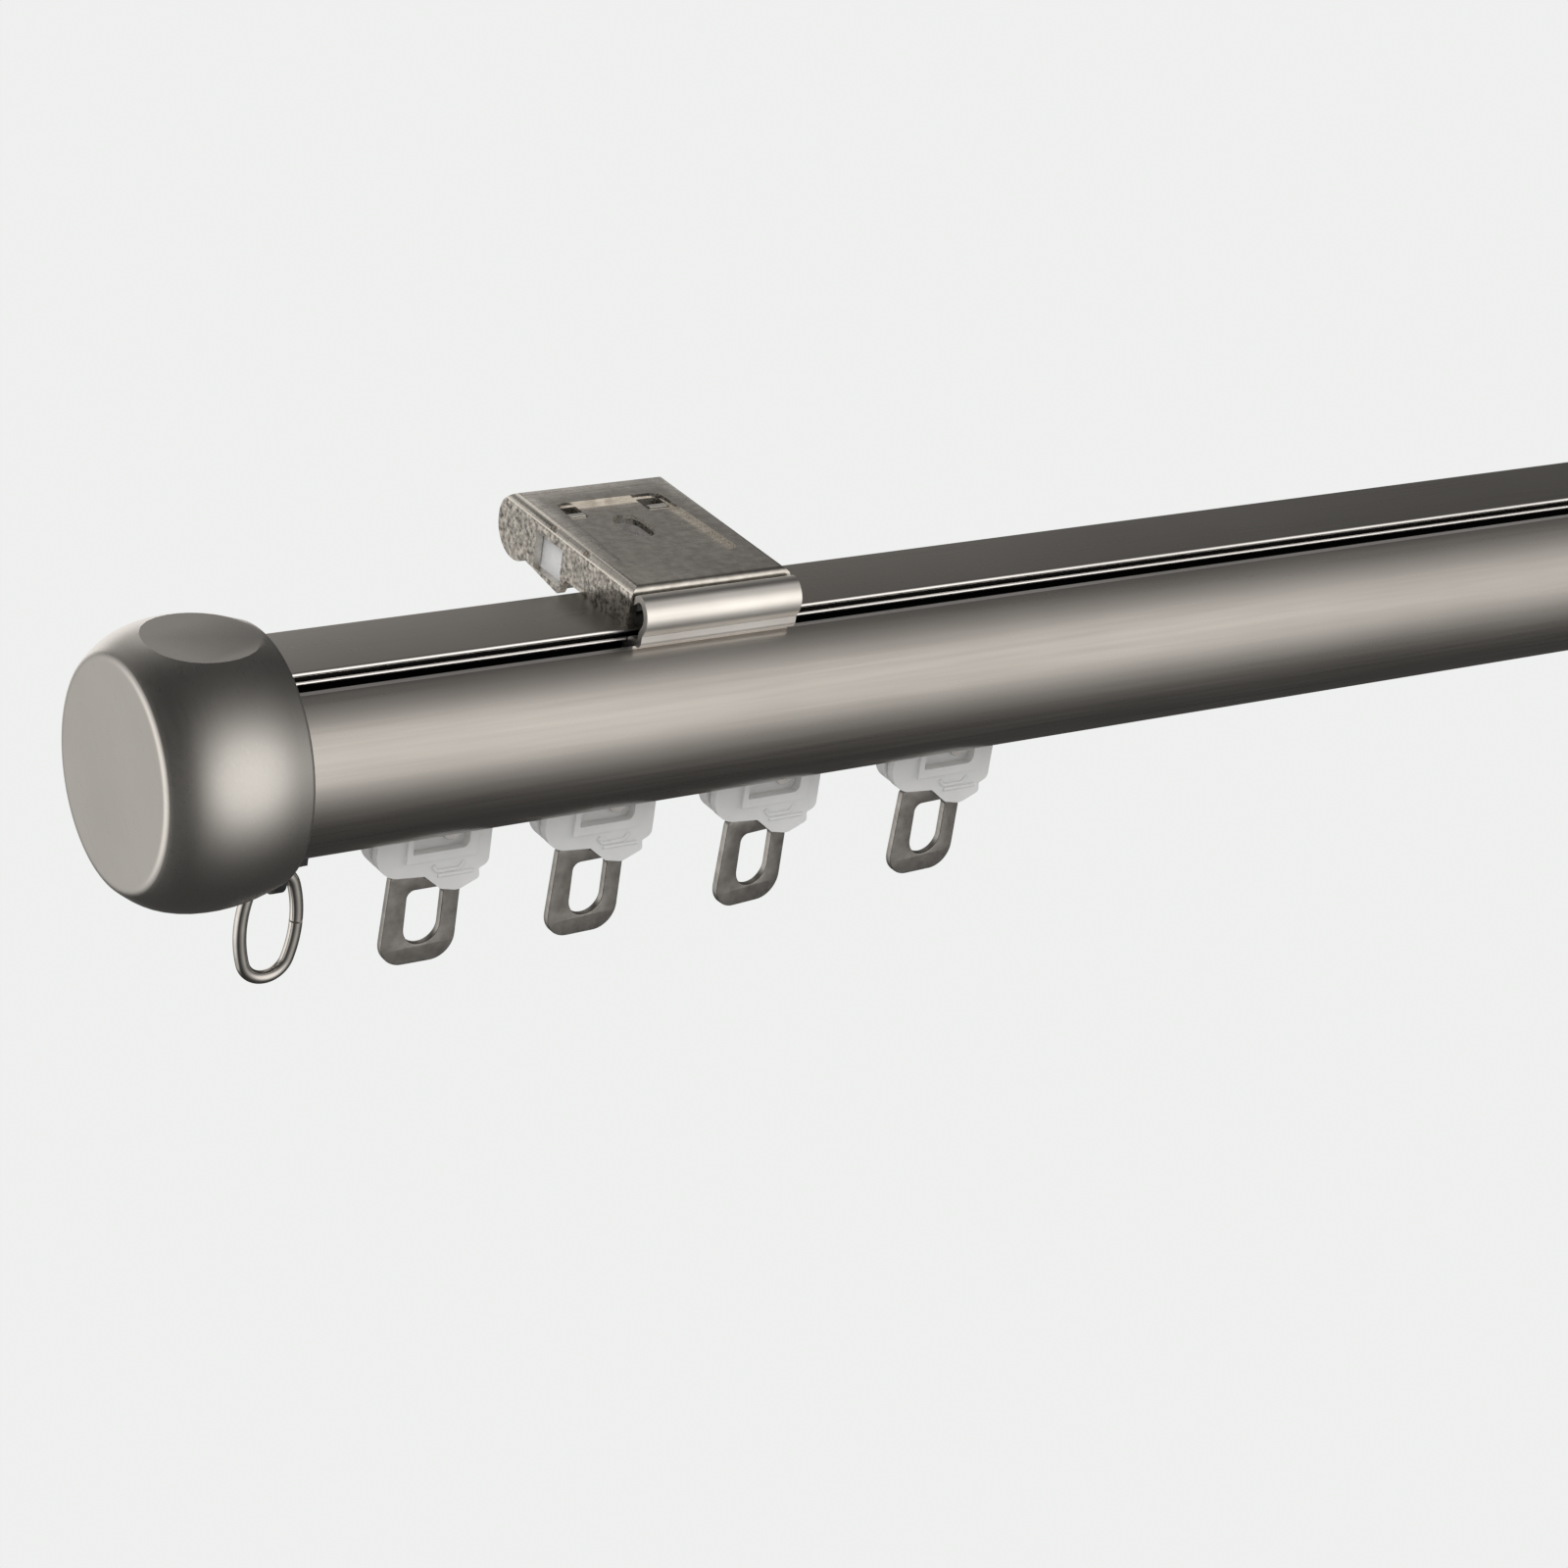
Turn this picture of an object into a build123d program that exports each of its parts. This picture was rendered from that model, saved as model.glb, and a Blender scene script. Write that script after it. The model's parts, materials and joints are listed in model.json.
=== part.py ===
from build123d import *
import math
import os

os.makedirs("parts", exist_ok=True)

# Frame: the origin is the middle of the rail's top face, +X runs along the rail, +Z is up

# Rail
rail_length = 600.0
rail_height = 24.0
tube_radius = 12.2
tube_wall = 1.2
head_width = 10.3
head_thickness = 1.72
head_rounding = 0.3
head_groove_radius = 0.24
neck_width = 5.8
claw_groove_width = 1.5
claw_groove_depth = 3.4
web_thickness = 1.2
slot_width = 5.0
runway_thickness = 2.8

# End caps
cap_length = 16.3
cap_end_wall = 2.5
cap_face_radius = 12.5
cap_bevel = 0.95
cap_shoulder_length = 3.3
cap_shoulder_radius = 15.1
cap_crown_length = 9.5
cap_crown_radius = 15.95
cap_rim_radius = 15.1
cap_rim_rounding = 0.5
cap_flat_height = 3.4
cap_socket_depth = 1.2
cap_clearance = 0.12

# End stops
stop_end = 23.6
stop_clearance = 0.15
stop_stub_radius = 3.5
stop_foot_start = 17.0
stop_foot_width = 4.6
stop_foot_thickness = 1.45
stop_side_gap = 0.25
lug_position = 20.6
lug_thickness = 1.4
lug_width = 4.4
lug_edge = 1.3
lug_hole_radius = 1.15

# End rings
ring_wire_radius = 0.775
ring_half_width = 3.475
ring_half_height = 6.7
ring_end_radius = 2.9
ring_drop = 26.95
ring_joint_gap = 0.25

# Brackets
bracket_position = 69.5
bracket_width = 23.4
bracket_top = 5.12
bracket_front = 5.45
bracket_back = 21.8
bracket_back_bulge = 2.15
bracket_seat_gap = 0.0
bracket_bulge_height = 2.2
bracket_back_tuck = 4.4
bracket_back_rise = 1.3
bracket_lip = 0.6
bracket_lip_height = 1.2
bracket_sheet = 1.1
bracket_bend = 1.6
bend_lift = 0.01
bracket_skirt_drop = 2.25
bracket_step = 8.3
panel_back = 17.8
panel_front = 0.8
panel_back_width = 15.4
panel_front_width = 17.2
panel_depth = 0.5
panel_corner = 1.4
panel_boss_rim = 0.3
panel_boss_overlap = 0.2
screw_slot_width = 4.3
screw_slot_length = 6.4
screw_slot_position = 10.8
tab_hole = 3.0
tab_hole_spread = 12.1
tab_hole_position = 16.0
side_window_start = 9.5
side_window_end = 15.4
side_window_top = 3.15
nick_length = 1.3
nick_depth = 0.7
nick_places = (5.0, 12.4)

# Hook plate
hook_sheet = 0.8
hook_width = 22.6
hook_tongue_width = 17.6
hook_bulge = 8.9
hook_bulge_height = 2.3
hook_lip = 7.7
hook_gap = 0.15
hook_side_gap = 0.2
hook_claw_gap = 0.25
hook_claw_reach = 0.9

# Latch
latch_gap = 0.25
latch_travel = 0.5
latch_claw_thickness = 0.65
latch_claw_gap = 0.15
latch_claw_reach = 0.38
latch_claw_width = 6.0
latch_claw_spread = 12.0
latch_back = 19.3
latch_upper_bottom = 0.35
latch_lower_back = 16.1
latch_lowest = 1.7
latch_nose = 2.0
latch_opening_width = 7.4
latch_opening_back = 14.7
latch_plate_thickness = 1.9
latch_wall = 1.3

# Latch spring
spring_thickness = 0.3
spring_bottom = 0.6
spring_height = 1.9
spring_length = 14.0
spring_end_gap = 0.3

# Runners
runner_places = (40.3, 62.3, 85.6, 111.3)
runner_turns = (0.0, 2.0, 6.0, 3.0)
runner_width = 15.8
runner_top = 15.9
carrier_width = 13.6
carrier_front = 0.1
carrier_back = 1.9
carrier_drop = 29.4
carrier_corner = 3.4
skirt_front = 1.9
skirt_thin_front = 1.35
wheel_radius = 3.4
wheel_width = 2.5
wheel_rounding = 0.35
wheel_hub_radius = 1.5
wheel_side_gap = 0.3
wheel_float = 0.05
wheel_spread = 8.4
axle_radius = 0.8
axle_head_radius = 1.25
axle_head_length = 0.4
axle_running_gap = 0.06
axle_fit_gap = 0.02
rivet_offset = 2.4
rivet_radius = 1.35
rivet_drop = 24.75
rivet_head_thickness = 0.45
window_left = -3.0
window_right = 4.3
window_drop = 26.9
window_top = 23.0
window_depth = 0.75
belly_back = 0.75
belly_recess_drop = 29.5

# Eyes
eye_thickness = 0.9
eye_top = 30.3
eye_bottom = 42.1
eye_top_left = -4.55
eye_bottom_left = -5.05
eye_right = 4.75
eye_corner = 3.0
eye_hole_width = 4.7
eye_hole_top = 32.5
eye_hole_bottom = 39.7
eye_hole_centre = 0.2
eye_hole_corner = 1.0
eye_stem_radius = 0.65
eye_stem_drop = 27.9
eye_stem_overlap = 0.9
eye_head_radius = 1.1
eye_head_thickness = 0.8
eye_swivel_gap = 0.1
eye_setback = 0.35

# Places that follow from the sizes
tube_centre = tube_radius - rail_height
bore_radius = tube_radius - tube_wall
runway = runway_thickness - rail_height
web_bottom = -claw_groove_depth - web_thickness
head_half = head_width / 2
groove_rim = head_half + claw_groove_width
track_half = rail_length / 2 + cap_end_wall


def across(x):
    """The plane at x whose sketch axes are the rail's Y and Z."""
    return Plane(origin=(x, 0, 0), x_dir=(0, 1, 0), z_dir=(1, 0, 0))


def upright(y):
    """The plane at y whose sketch axes are the rail's X and Z, facing the front."""
    return Plane(origin=(0, y, 0), x_dir=(1, 0, 0), z_dir=(0, -1, 0))


def block(low, high):
    """A box between two opposite corners."""
    size = [h - l for l, h in zip(low, high)]
    middle = [(h + l) / 2 for l, h in zip(low, high)]
    return Pos(*middle) * Box(*size)


def pane(left, bottom, right, top):
    """A rectangle between two opposite corners."""
    return Pos((left + right) / 2, (bottom + top) / 2) * Rectangle(right - left, top - bottom)


def outline(points, radii):
    """A filled outline of straight runs, with a rounding at each corner."""
    return make_face(FilletPolyline(*points, radius=radii, close=True))


def depth_of_tube(y):
    """The height of the tube's outer surface at y."""
    return tube_centre + math.sqrt(tube_radius**2 - y**2)


def save(shape, name):
    """Writes one piece under its name."""
    export_step(shape, f"parts/{name}.step")


def place_right(shape):
    """The same piece at the right-hand end."""
    return mirror(shape, about=Plane.YZ)


def tube_round(radius):
    """A disc about the tube's axis."""
    return Pos(0, tube_centre) * Circle(radius)


# Rail
def make_rail():
    wall = tube_round(tube_radius) - pane(-groove_rim, -claw_groove_depth, groove_rim, 1)
    channel = tube_round(bore_radius) & pane(-bore_radius, runway, bore_radius, web_bottom)
    slot = pane(-slot_width / 2, -rail_height - 1, slot_width / 2, runway + 1)
    head = outline(
        [(-head_half, -head_thickness), (head_half, -head_thickness), (head_half, 0), (-head_half, 0)],
        [head_rounding] * 4,
    )
    neck = pane(-neck_width / 2, -claw_groove_depth, neck_width / 2, -head_thickness)
    section = wall - channel - slot + neck + head
    for side in (-1, 1):
        section -= Pos(side * head_half, -head_thickness / 2) * Circle(head_groove_radius)
    return extrude(across(-rail_length / 2) * section, rail_length)


# End caps
def make_cap():
    face = -track_half
    rim = cap_length - cap_rim_rounding
    start = (cap_bevel, cap_face_radius + cap_bevel)
    shoulder = (cap_shoulder_length, cap_shoulder_radius)
    crown = ThreePointArc(shoulder, (cap_crown_length, cap_crown_radius), (rim, cap_rim_radius))
    round_shoulder = TangentArc(shoulder, start, tangent=-(crown % 0))
    bevel = TangentArc(start, (0, cap_face_radius), tangent=round_shoulder % 1)
    edge = TangentArc((rim, cap_rim_radius), (cap_length, cap_rim_radius - cap_rim_rounding), tangent=crown % 1)
    back = Polyline((cap_length, cap_rim_radius - cap_rim_rounding), (cap_length, 0), (0, 0), (0, cap_face_radius))
    profile = make_face([crown, round_shoulder, bevel, edge, back])
    plane = Plane(origin=(face, 0, tube_centre), x_dir=(1, 0, 0), z_dir=(0, -1, 0))
    barrel = revolve(plane * profile, Axis((face, 0, tube_centre), (1, 0, 0)))
    flat = block((face - 1, -tube_radius, cap_flat_height), (face + cap_length + 1, tube_radius, cap_flat_height + 9))
    bore = tube_round(tube_radius + cap_clearance)
    bore += pane(-head_half - cap_clearance, tube_centre, head_half + cap_clearance, cap_clearance)
    hollow = extrude(across(face + cap_end_wall) * bore, cap_length)
    socket = tube_round(stop_stub_radius + cap_clearance)
    seat = extrude(across(face + cap_end_wall - cap_socket_depth) * socket, cap_socket_depth)
    return barrel - flat - hollow - seat


# End stops, pushed into the channel behind each cap
def make_stop():
    face = -track_half
    start = face + cap_end_wall
    end = face + stop_end
    room = tube_round(bore_radius - stop_clearance)
    plug = room & pane(-bore_radius, runway + stop_clearance, bore_radius, web_bottom - stop_clearance)
    body = extrude(across(start) * plug, end - start)
    stub = tube_round(stop_stub_radius)
    seat = face + cap_end_wall - cap_socket_depth + cap_clearance
    body += extrude(across(seat) * stub, start - seat)
    foot_top = -rail_height - stop_clearance
    foot_bottom = foot_top - stop_foot_thickness
    half_web = slot_width / 2 - stop_side_gap
    foot_start = face + stop_foot_start
    body += block((foot_start, -half_web, foot_bottom), (end, half_web, runway + 1))
    foot = block((foot_start, -stop_foot_width / 2, foot_bottom), (end, stop_foot_width / 2, foot_top))
    body += fillet(foot.edges().filter_by(Axis.Y).group_by(Axis.Z)[0], stop_foot_thickness * 0.6)
    lug_bottom = ring_drop + lug_hole_radius + lug_edge
    lug = outline(
        [(-lug_width / 2, -lug_bottom), (lug_width / 2, -lug_bottom), (lug_width / 2, foot_top), (-lug_width / 2, foot_top)],
        [lug_width * 0.45, lug_width * 0.45, 0, 0],
    )
    hole = Pos(0, -ring_drop) * Circle(lug_hole_radius)
    lug_start = face + lug_position - lug_thickness / 2
    lug_plate = extrude(across(lug_start) * lug, lug_thickness)
    lug_hole = extrude(across(lug_start) * hole, lug_thickness)
    return body + lug_plate - lug_hole


# End rings: an oval of four arcs, bent from round wire
def make_ring():
    rise = ring_half_height - ring_end_radius
    spread = ring_half_width - ring_end_radius
    side_radius = (rise**2 + spread**2) / (2 * spread) + ring_end_radius
    side_centre = ring_half_width - side_radius
    reach = side_radius / (side_radius - ring_end_radius)
    meet_x = side_centre * (1 - reach)
    meet_z = rise * reach
    top = ThreePointArc((meet_x, meet_z), (0, ring_half_height), (-meet_x, meet_z))
    left = ThreePointArc((-meet_x, meet_z), (-ring_half_width, 0), (-meet_x, -meet_z))
    bottom = ThreePointArc((-meet_x, -meet_z), (0, -ring_half_height), (meet_x, -meet_z))
    right = ThreePointArc((meet_x, -meet_z), (ring_half_width, 0), (meet_x, meet_z))
    centre = (lug_position - track_half, 0, -ring_drop - ring_half_height)
    plane = Plane(origin=centre, x_dir=(1, 0, 0), z_dir=(0, -1, 0))
    path = plane * Wire([top, left, bottom, right])
    start = path @ 0
    section = Plane(origin=start, z_dir=path % 0) * Circle(ring_wire_radius)
    wire = sweep(section, path=path)
    joint = Pos(centre[0] + ring_half_width, 0, centre[2] + ring_joint_gap) * Box(4, 4, ring_joint_gap)
    return wire - joint


# Brackets
def bracket_profile():
    """The bracket's shape from the side, filled, with its rounded back."""
    top_back = (bracket_back, bracket_top)
    under_back = (bracket_back - bracket_back_tuck, -bracket_back_rise)
    back = ThreePointArc(top_back, (bracket_back + bracket_back_bulge, bracket_bulge_height), under_back)
    points = [
        under_back,
        (bracket_step + 1.2, -bracket_skirt_drop),
        (bracket_step, bracket_seat_gap),
        (-bracket_front, bracket_seat_gap),
        (-bracket_front, bracket_top),
        top_back,
    ]
    return make_face([back, FilletPolyline(*points, radius=[0.4, 0.2, 0, 0.9])])


def bracket_section(inset):
    """The bracket's shape from the front, filled, with its two bent edges."""
    half = bracket_width / 2 - inset
    bend = bracket_bend - inset
    top = bracket_top - inset + bend_lift
    return outline([(-half, -9), (half, -9), (half, top), (-half, top)], [0, 0, bend, bend])


def make_bracket():
    half = bracket_width / 2
    inner_width = bracket_width - 2 * bracket_sheet
    reach = bracket_back + bracket_back_bulge
    outside = extrude(across(-half) * bracket_profile(), bracket_width)
    outside &= extrude(upright(reach) * bracket_section(0), 2 * reach)
    room = offset(bracket_profile(), -bracket_sheet, kind=Kind.INTERSECTION)
    lip = bracket_back - bracket_back_tuck - bracket_lip
    room += pane(-bracket_front + bracket_sheet, -9, lip, bracket_lip_height)
    hollow = extrude(across(-inner_width / 2) * room, inner_width)
    hollow &= extrude(upright(reach) * bracket_section(bracket_sheet), 2 * reach)
    shell = outside - hollow
    under = bracket_top - bracket_sheet
    shell -= block((-inner_width / 2, -bracket_front - 1, -9), (inner_width / 2, -bracket_front + 2, under))
    floor = bracket_top - panel_depth
    corners = [
        (-panel_front_width / 2, panel_front),
        (panel_front_width / 2, panel_front),
        (panel_back_width / 2, panel_back),
        (-panel_back_width / 2, panel_back),
    ]
    sunk = outline(corners, [panel_corner] * 4)
    shell -= extrude(Pos(0, 0, floor) * sunk, bracket_sheet)
    boss_top = under + panel_boss_overlap
    boss = offset(sunk, panel_boss_rim)
    shell += extrude(Pos(0, 0, floor - bracket_sheet) * boss, boss_top - floor + bracket_sheet)
    slot = SlotOverall(screw_slot_length, screw_slot_width, rotation=90)
    shell -= extrude(Pos(0, screw_slot_position, 0) * slot, bracket_top + 1)
    for side in (-1, 1):
        hole = Pos(side * tab_hole_spread / 2, tab_hole_position, bracket_top) * Box(tab_hole, tab_hole, 6)
        shell -= hole
        wall = side * (half - bracket_sheet / 2)
        window = block(
            (wall - bracket_sheet, side_window_start, -bracket_skirt_drop + 0.9),
            (wall + bracket_sheet, side_window_end, side_window_top),
        )
        shell -= window
        for place in nick_places:
            corner = (side * (half - nick_depth * 0.4), place, bracket_top - nick_depth * 0.4)
            shell -= Pos(*corner) * Rot(0, side * 45, 0) * Box(nick_depth, nick_length, nick_depth * 2)
    return shell


def hook_levels():
    """The heights of the hook plate's tongue and of the pieces beneath it."""
    tongue_top = bracket_top - panel_depth - bracket_sheet
    tongue_bottom = tongue_top - hook_sheet
    return tongue_top, tongue_bottom


def make_hook():
    tongue_top, tongue_bottom = hook_levels()
    middle = (tongue_top + tongue_bottom) / 2
    claw_y = head_half + hook_gap + hook_sheet / 2
    claw_z = -head_thickness - hook_claw_gap - hook_sheet / 2
    over_rim = depth_of_tube(groove_rim) + hook_gap + hook_sheet / 2
    points = [
        (tab_hole_position - tab_hole / 2 + hook_sheet, middle),
        (-bracket_front + 0.3, middle),
        (-hook_bulge + 2.0, bracket_top - 0.55),
        (-hook_bulge, hook_bulge_height),
        (-hook_lip, 0.3),
        (-hook_lip, over_rim),
        (-claw_y, over_rim),
        (-claw_y, claw_z),
        (-head_half + hook_claw_reach, claw_z),
    ]
    path = FilletPolyline(*points, radius=[1.0, 1.0, 2.2, 0.6, 0.45, 0.42, 0.42])
    section = trace(path, hook_sheet)
    plate = extrude(across(-hook_width / 2) * section, hook_width)
    side = (hook_width - hook_tongue_width) / 2
    front = -bracket_front - hook_side_gap
    for hand in (-1, 1):
        edge = hand * (hook_tongue_width / 2 + side / 2)
        plate -= Pos(edge, front + bracket_back / 2, middle) * Box(side + 0.01, bracket_back, 3)
    slot = SlotOverall(screw_slot_length, screw_slot_width, rotation=90)
    plate -= extrude(Pos(0, screw_slot_position, 0) * slot, bracket_top)
    half_tab = tab_hole / 2 - 0.3
    tab_y = tab_hole_position - tab_hole / 2 + 0.15
    for hand in (-1, 1):
        x = hand * tab_hole_spread / 2
        plate += block((x - half_tab, tab_y, tongue_bottom), (x + half_tab, tab_y + hook_sheet, bracket_top - 0.35))
    return plate


def make_latch():
    _, tongue_bottom = hook_levels()
    half = bracket_width / 2 - bracket_sheet - latch_gap
    top = tongue_bottom - hook_gap
    side_top = side_window_top + 0.15
    front = bracket_step + bracket_sheet + 0.1
    body = block((-half, front, -latch_lowest), (half, latch_lower_back, top))
    body += block((-half, front, latch_upper_bottom), (half, latch_back, top))
    opening = block(
        (-latch_opening_width / 2, front + latch_wall, -9),
        (latch_opening_width / 2, latch_opening_back, 9),
    )
    body += block((-half, -latch_nose, latch_gap), (half, front, latch_gap + latch_plate_thickness))
    for hand in (-1, 1):
        wing = hand * (half - latch_wall / 2)
        low = (wing - latch_wall / 2, front, latch_upper_bottom)
        body += block(low, (wing + latch_wall / 2, latch_lower_back, side_top))
    body -= opening
    body -= block((-latch_opening_width / 2, front - 1.5, -9), (latch_opening_width / 2, front + latch_wall + 1, 9))
    for hand in (-1, 1):
        x = hand * (half + latch_opening_width / 2) / 2
        width = half - latch_opening_width / 2 - 2 * latch_wall
        low = (x - width / 2, front + latch_wall, -9)
        body -= block(low, (x + width / 2, latch_lower_back - latch_wall, top - latch_wall))
    claw_y = head_half + latch_claw_gap
    claw_bottom = -claw_groove_depth + latch_gap
    hook_top = -head_thickness - latch_claw_gap
    for hand in (-1, 1):
        x = hand * latch_claw_spread / 2
        left = x - latch_claw_width / 2
        right = x + latch_claw_width / 2
        body += block((left, claw_y, claw_bottom), (right, claw_y + latch_claw_thickness, latch_gap + 0.5))
        body += block((left, head_half - latch_claw_reach, claw_bottom), (right, claw_y + 0.1, hook_top))
    return body


def make_spring():
    wall = bracket_back + bracket_back_bulge - bracket_sheet - spring_end_gap
    near = latch_back
    bow = wall - near - spring_thickness
    arc = ThreePointArc(
        (-spring_length / 2, wall - spring_thickness / 2),
        (0, wall - spring_thickness / 2 - bow),
        (spring_length / 2, wall - spring_thickness / 2),
    )
    leaf = trace(arc, spring_thickness)
    return extrude(Pos(0, 0, spring_bottom) * leaf, spring_height)


# Runners, each made about its own middle
def runner_outline(drop, left, right):
    """The runner's plate as seen from the front."""
    half = carrier_width / 2
    neck = -rail_height - 0.35
    points = [
        (-half, -runner_top),
        (-half, neck + 0.35),
        (left, neck),
        (left, -drop),
        (right, -drop),
        (right, neck),
        (half, neck + 0.35),
        (half, -runner_top),
    ]
    return outline(points, [1.6, 0, 0.3, carrier_corner, carrier_corner, 0.3, 0, 1.6])


def axle_height():
    """The height of the axles, from the ledges and the wheels."""
    return runway + wheel_float + wheel_radius


def stem_room():
    """The hollow round the eye's stem and its head, shared by the two halves."""
    gap = eye_swivel_gap
    low = -eye_stem_drop + eye_head_thickness / 2
    length = eye_top - eye_stem_drop + 1
    stem = Pos(eye_hole_centre, eye_setback, low - length / 2) * Cylinder(eye_stem_radius + gap, length)
    head = Pos(eye_hole_centre, eye_setback, low) * Cylinder(eye_head_radius + gap, eye_head_thickness + 2 * gap)
    return stem + head


def make_carrier():
    sheet = runner_outline(carrier_drop, -runner_width / 2, runner_width / 2)
    plate = extrude(upright(carrier_back) * sheet, carrier_back - carrier_front)
    for hand in (-1, 1):
        bore = Pos(hand * wheel_spread / 2, axle_height()) * Circle(axle_radius + axle_running_gap)
        plate -= extrude(upright(carrier_back) * bore, carrier_back * 2)
    hole = Pos(rivet_offset, -rivet_drop) * Circle(axle_radius + axle_fit_gap)
    plate -= extrude(upright(carrier_back) * hole, carrier_back * 2)
    return plate - stem_room()


def make_skirt():
    half = runner_width / 2
    belly = [
        (-carrier_width / 2, -runner_top),
        (-carrier_width / 2, -rail_height),
        (-half + 0.5, -rail_height - 0.35),
        (-half + 0.5, -29.6),
        (-0.9, -30.15),
        (1.4, -32.1),
        (3.7, -32.6),
        (6.4, -31.4),
        (6.2, -30.2),
        (half - 0.5, -29.6),
        (half - 0.5, -rail_height - 0.35),
        (carrier_width / 2, -rail_height),
        (carrier_width / 2, -runner_top),
    ]
    radii = [1.6, 0, 0.3, carrier_corner, 0.5, 0.8, 1.5, 0.5, 0.2, 1.0, 0.3, 0, 1.6]
    sheet = outline(belly, radii)
    front = skirt_thin_front
    plate = extrude(upright(-carrier_front) * sheet, front - carrier_front)
    upper = outline(
        [
            (-carrier_width / 2, -runner_top),
            (-carrier_width / 2, -rail_height + 0.3),
            (carrier_width / 2, -rail_height + 0.3),
            (carrier_width / 2, -runner_top),
        ],
        [1.6, 0, 0, 1.6],
    )
    plate += extrude(upright(-carrier_front) * upper, skirt_front - carrier_front)
    frame = pane(window_left - 0.7, -28.0, window_right + 1.1, -rail_height + 0.3)
    plate += extrude(upright(-carrier_front) * frame, skirt_front - carrier_front - 0.1)
    opening = outline(
        [(window_left, -window_drop), (window_right, -window_drop), (window_right, -window_top), (window_left, -window_top)],
        [0.3, 0.9, 0.3, 0.3],
    )
    plate -= extrude(upright(-skirt_thin_front + window_depth) * opening, skirt_front)
    recess = pane(-runner_width, -eye_bottom, runner_width, -belly_recess_drop)
    plate -= extrude(upright(0) * recess, belly_back)
    for hand in (-1, 1):
        bore = Pos(hand * wheel_spread / 2, axle_height()) * Circle(axle_radius + axle_running_gap)
        plate -= extrude(upright(0) * bore, skirt_front * 2)
    hole = Pos(rivet_offset, -rivet_drop) * Circle(axle_radius + axle_fit_gap)
    plate -= extrude(upright(0) * hole, skirt_front * 2)
    return plate - stem_room()


def make_rivet():
    front = skirt_thin_front - window_depth
    shank = Pos(rivet_offset, -rivet_drop) * Circle(axle_radius)
    head = Pos(rivet_offset, -rivet_drop) * Circle(rivet_radius)
    rivet = extrude(upright(carrier_back) * shank, carrier_back + front + rivet_head_thickness / 2)
    rivet += extrude(upright(-front) * head, rivet_head_thickness)
    return rivet


def make_axle(side):
    x = side * wheel_spread / 2
    reach = skirt_front + wheel_side_gap + wheel_width
    plane = upright(reach)
    rod = extrude(plane * Pos(x, axle_height()) * Circle(axle_radius), 2 * reach)
    head = Circle(axle_head_radius)
    rod += extrude(upright(reach + axle_head_length) * Pos(x, axle_height()) * head, axle_head_length)
    rod += extrude(upright(-reach) * Pos(x, axle_height()) * head, axle_head_length)
    return rod


def make_wheel(side, face):
    inner = skirt_front + wheel_side_gap
    low = axle_radius + axle_fit_gap
    tread = outline(
        [(inner, low), (inner + wheel_width, low), (inner + wheel_width, wheel_radius), (inner, wheel_radius)],
        [0, 0, wheel_rounding, wheel_rounding],
    )
    dish = pane(inner + wheel_width - 0.5, wheel_hub_radius, inner + wheel_width + 1, wheel_radius - 0.7)
    tread -= dish
    wheel = revolve(across(0) * tread, Axis((0, 0, 0), (0, 1, 0)))
    if face < 0:
        wheel = mirror(wheel, about=Plane.XZ)
    return Pos(side * wheel_spread / 2, 0, axle_height()) * wheel


def make_eye(turn):
    corners = [
        (eye_top_left, -eye_top),
        (eye_bottom_left, -eye_bottom),
        (eye_right, -eye_bottom),
        (eye_right, -eye_top),
    ]
    sheet = outline(corners, [0.6, eye_corner, eye_corner, 0.6])
    left = eye_hole_centre - eye_hole_width / 2
    right = eye_hole_centre + eye_hole_width / 2
    bottom = eye_hole_width / 2 - 0.02
    sheet -= outline(
        [(left, -eye_hole_top), (left, -eye_hole_bottom), (right, -eye_hole_bottom), (right, -eye_hole_top)],
        [eye_hole_corner, bottom, bottom, eye_hole_corner],
    )
    plate = extrude(upright(eye_setback + eye_thickness / 2) * sheet, eye_thickness)
    stem_bottom = -eye_top - eye_stem_overlap
    stem_top = -eye_stem_drop
    stem = Cylinder(eye_stem_radius, stem_top - stem_bottom)
    head = Cylinder(eye_head_radius, eye_head_thickness)
    eye = plate + Pos(eye_hole_centre, eye_setback, (stem_top + stem_bottom) / 2) * stem
    eye += Pos(eye_hole_centre, eye_setback, stem_top + eye_head_thickness / 2) * head
    return eye.rotate(Axis((eye_hole_centre, eye_setback, 0), (0, 0, 1)), turn)


save(make_rail(), "rail")

for make, kind in ((make_cap, "end_cap"), (make_stop, "end_stop"), (make_ring, "end_ring")):
    piece = make()
    save(piece, f"{kind}_left")
    save(place_right(piece), f"{kind}_right")

bracket_kinds = (
    (make_bracket, "bracket_body"),
    (make_hook, "bracket_hook"),
    (make_latch, "bracket_latch"),
    (make_spring, "latch_spring"),
)
for make, kind in bracket_kinds:
    piece = make()
    x = track_half - bracket_position
    save(Pos(-x, 0, 0) * piece, f"{kind}_left")
    save(Pos(x, 0, 0) * piece, f"{kind}_right")

carrier = make_carrier()
skirt = make_skirt()
rivet = make_rivet()
for number, (place, turn) in enumerate(zip(runner_places, runner_turns), start=1):
    move = Pos(place - track_half, 0, 0)
    name = f"runner_{number}"
    save(move * carrier, f"{name}_carrier")
    save(move * skirt, f"{name}_skirt")
    save(move * rivet, f"{name}_rivet")
    save(move * make_eye(turn), f"{name}_eye")
    for side, where in ((-1, "left"), (1, "right")):
        save(move * make_axle(side), f"{name}_axle_{where}")
        for face, hand in ((-1, "front"), (1, "back")):
            save(move * make_wheel(side, face), f"{name}_wheel_{where}_{hand}")
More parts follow.
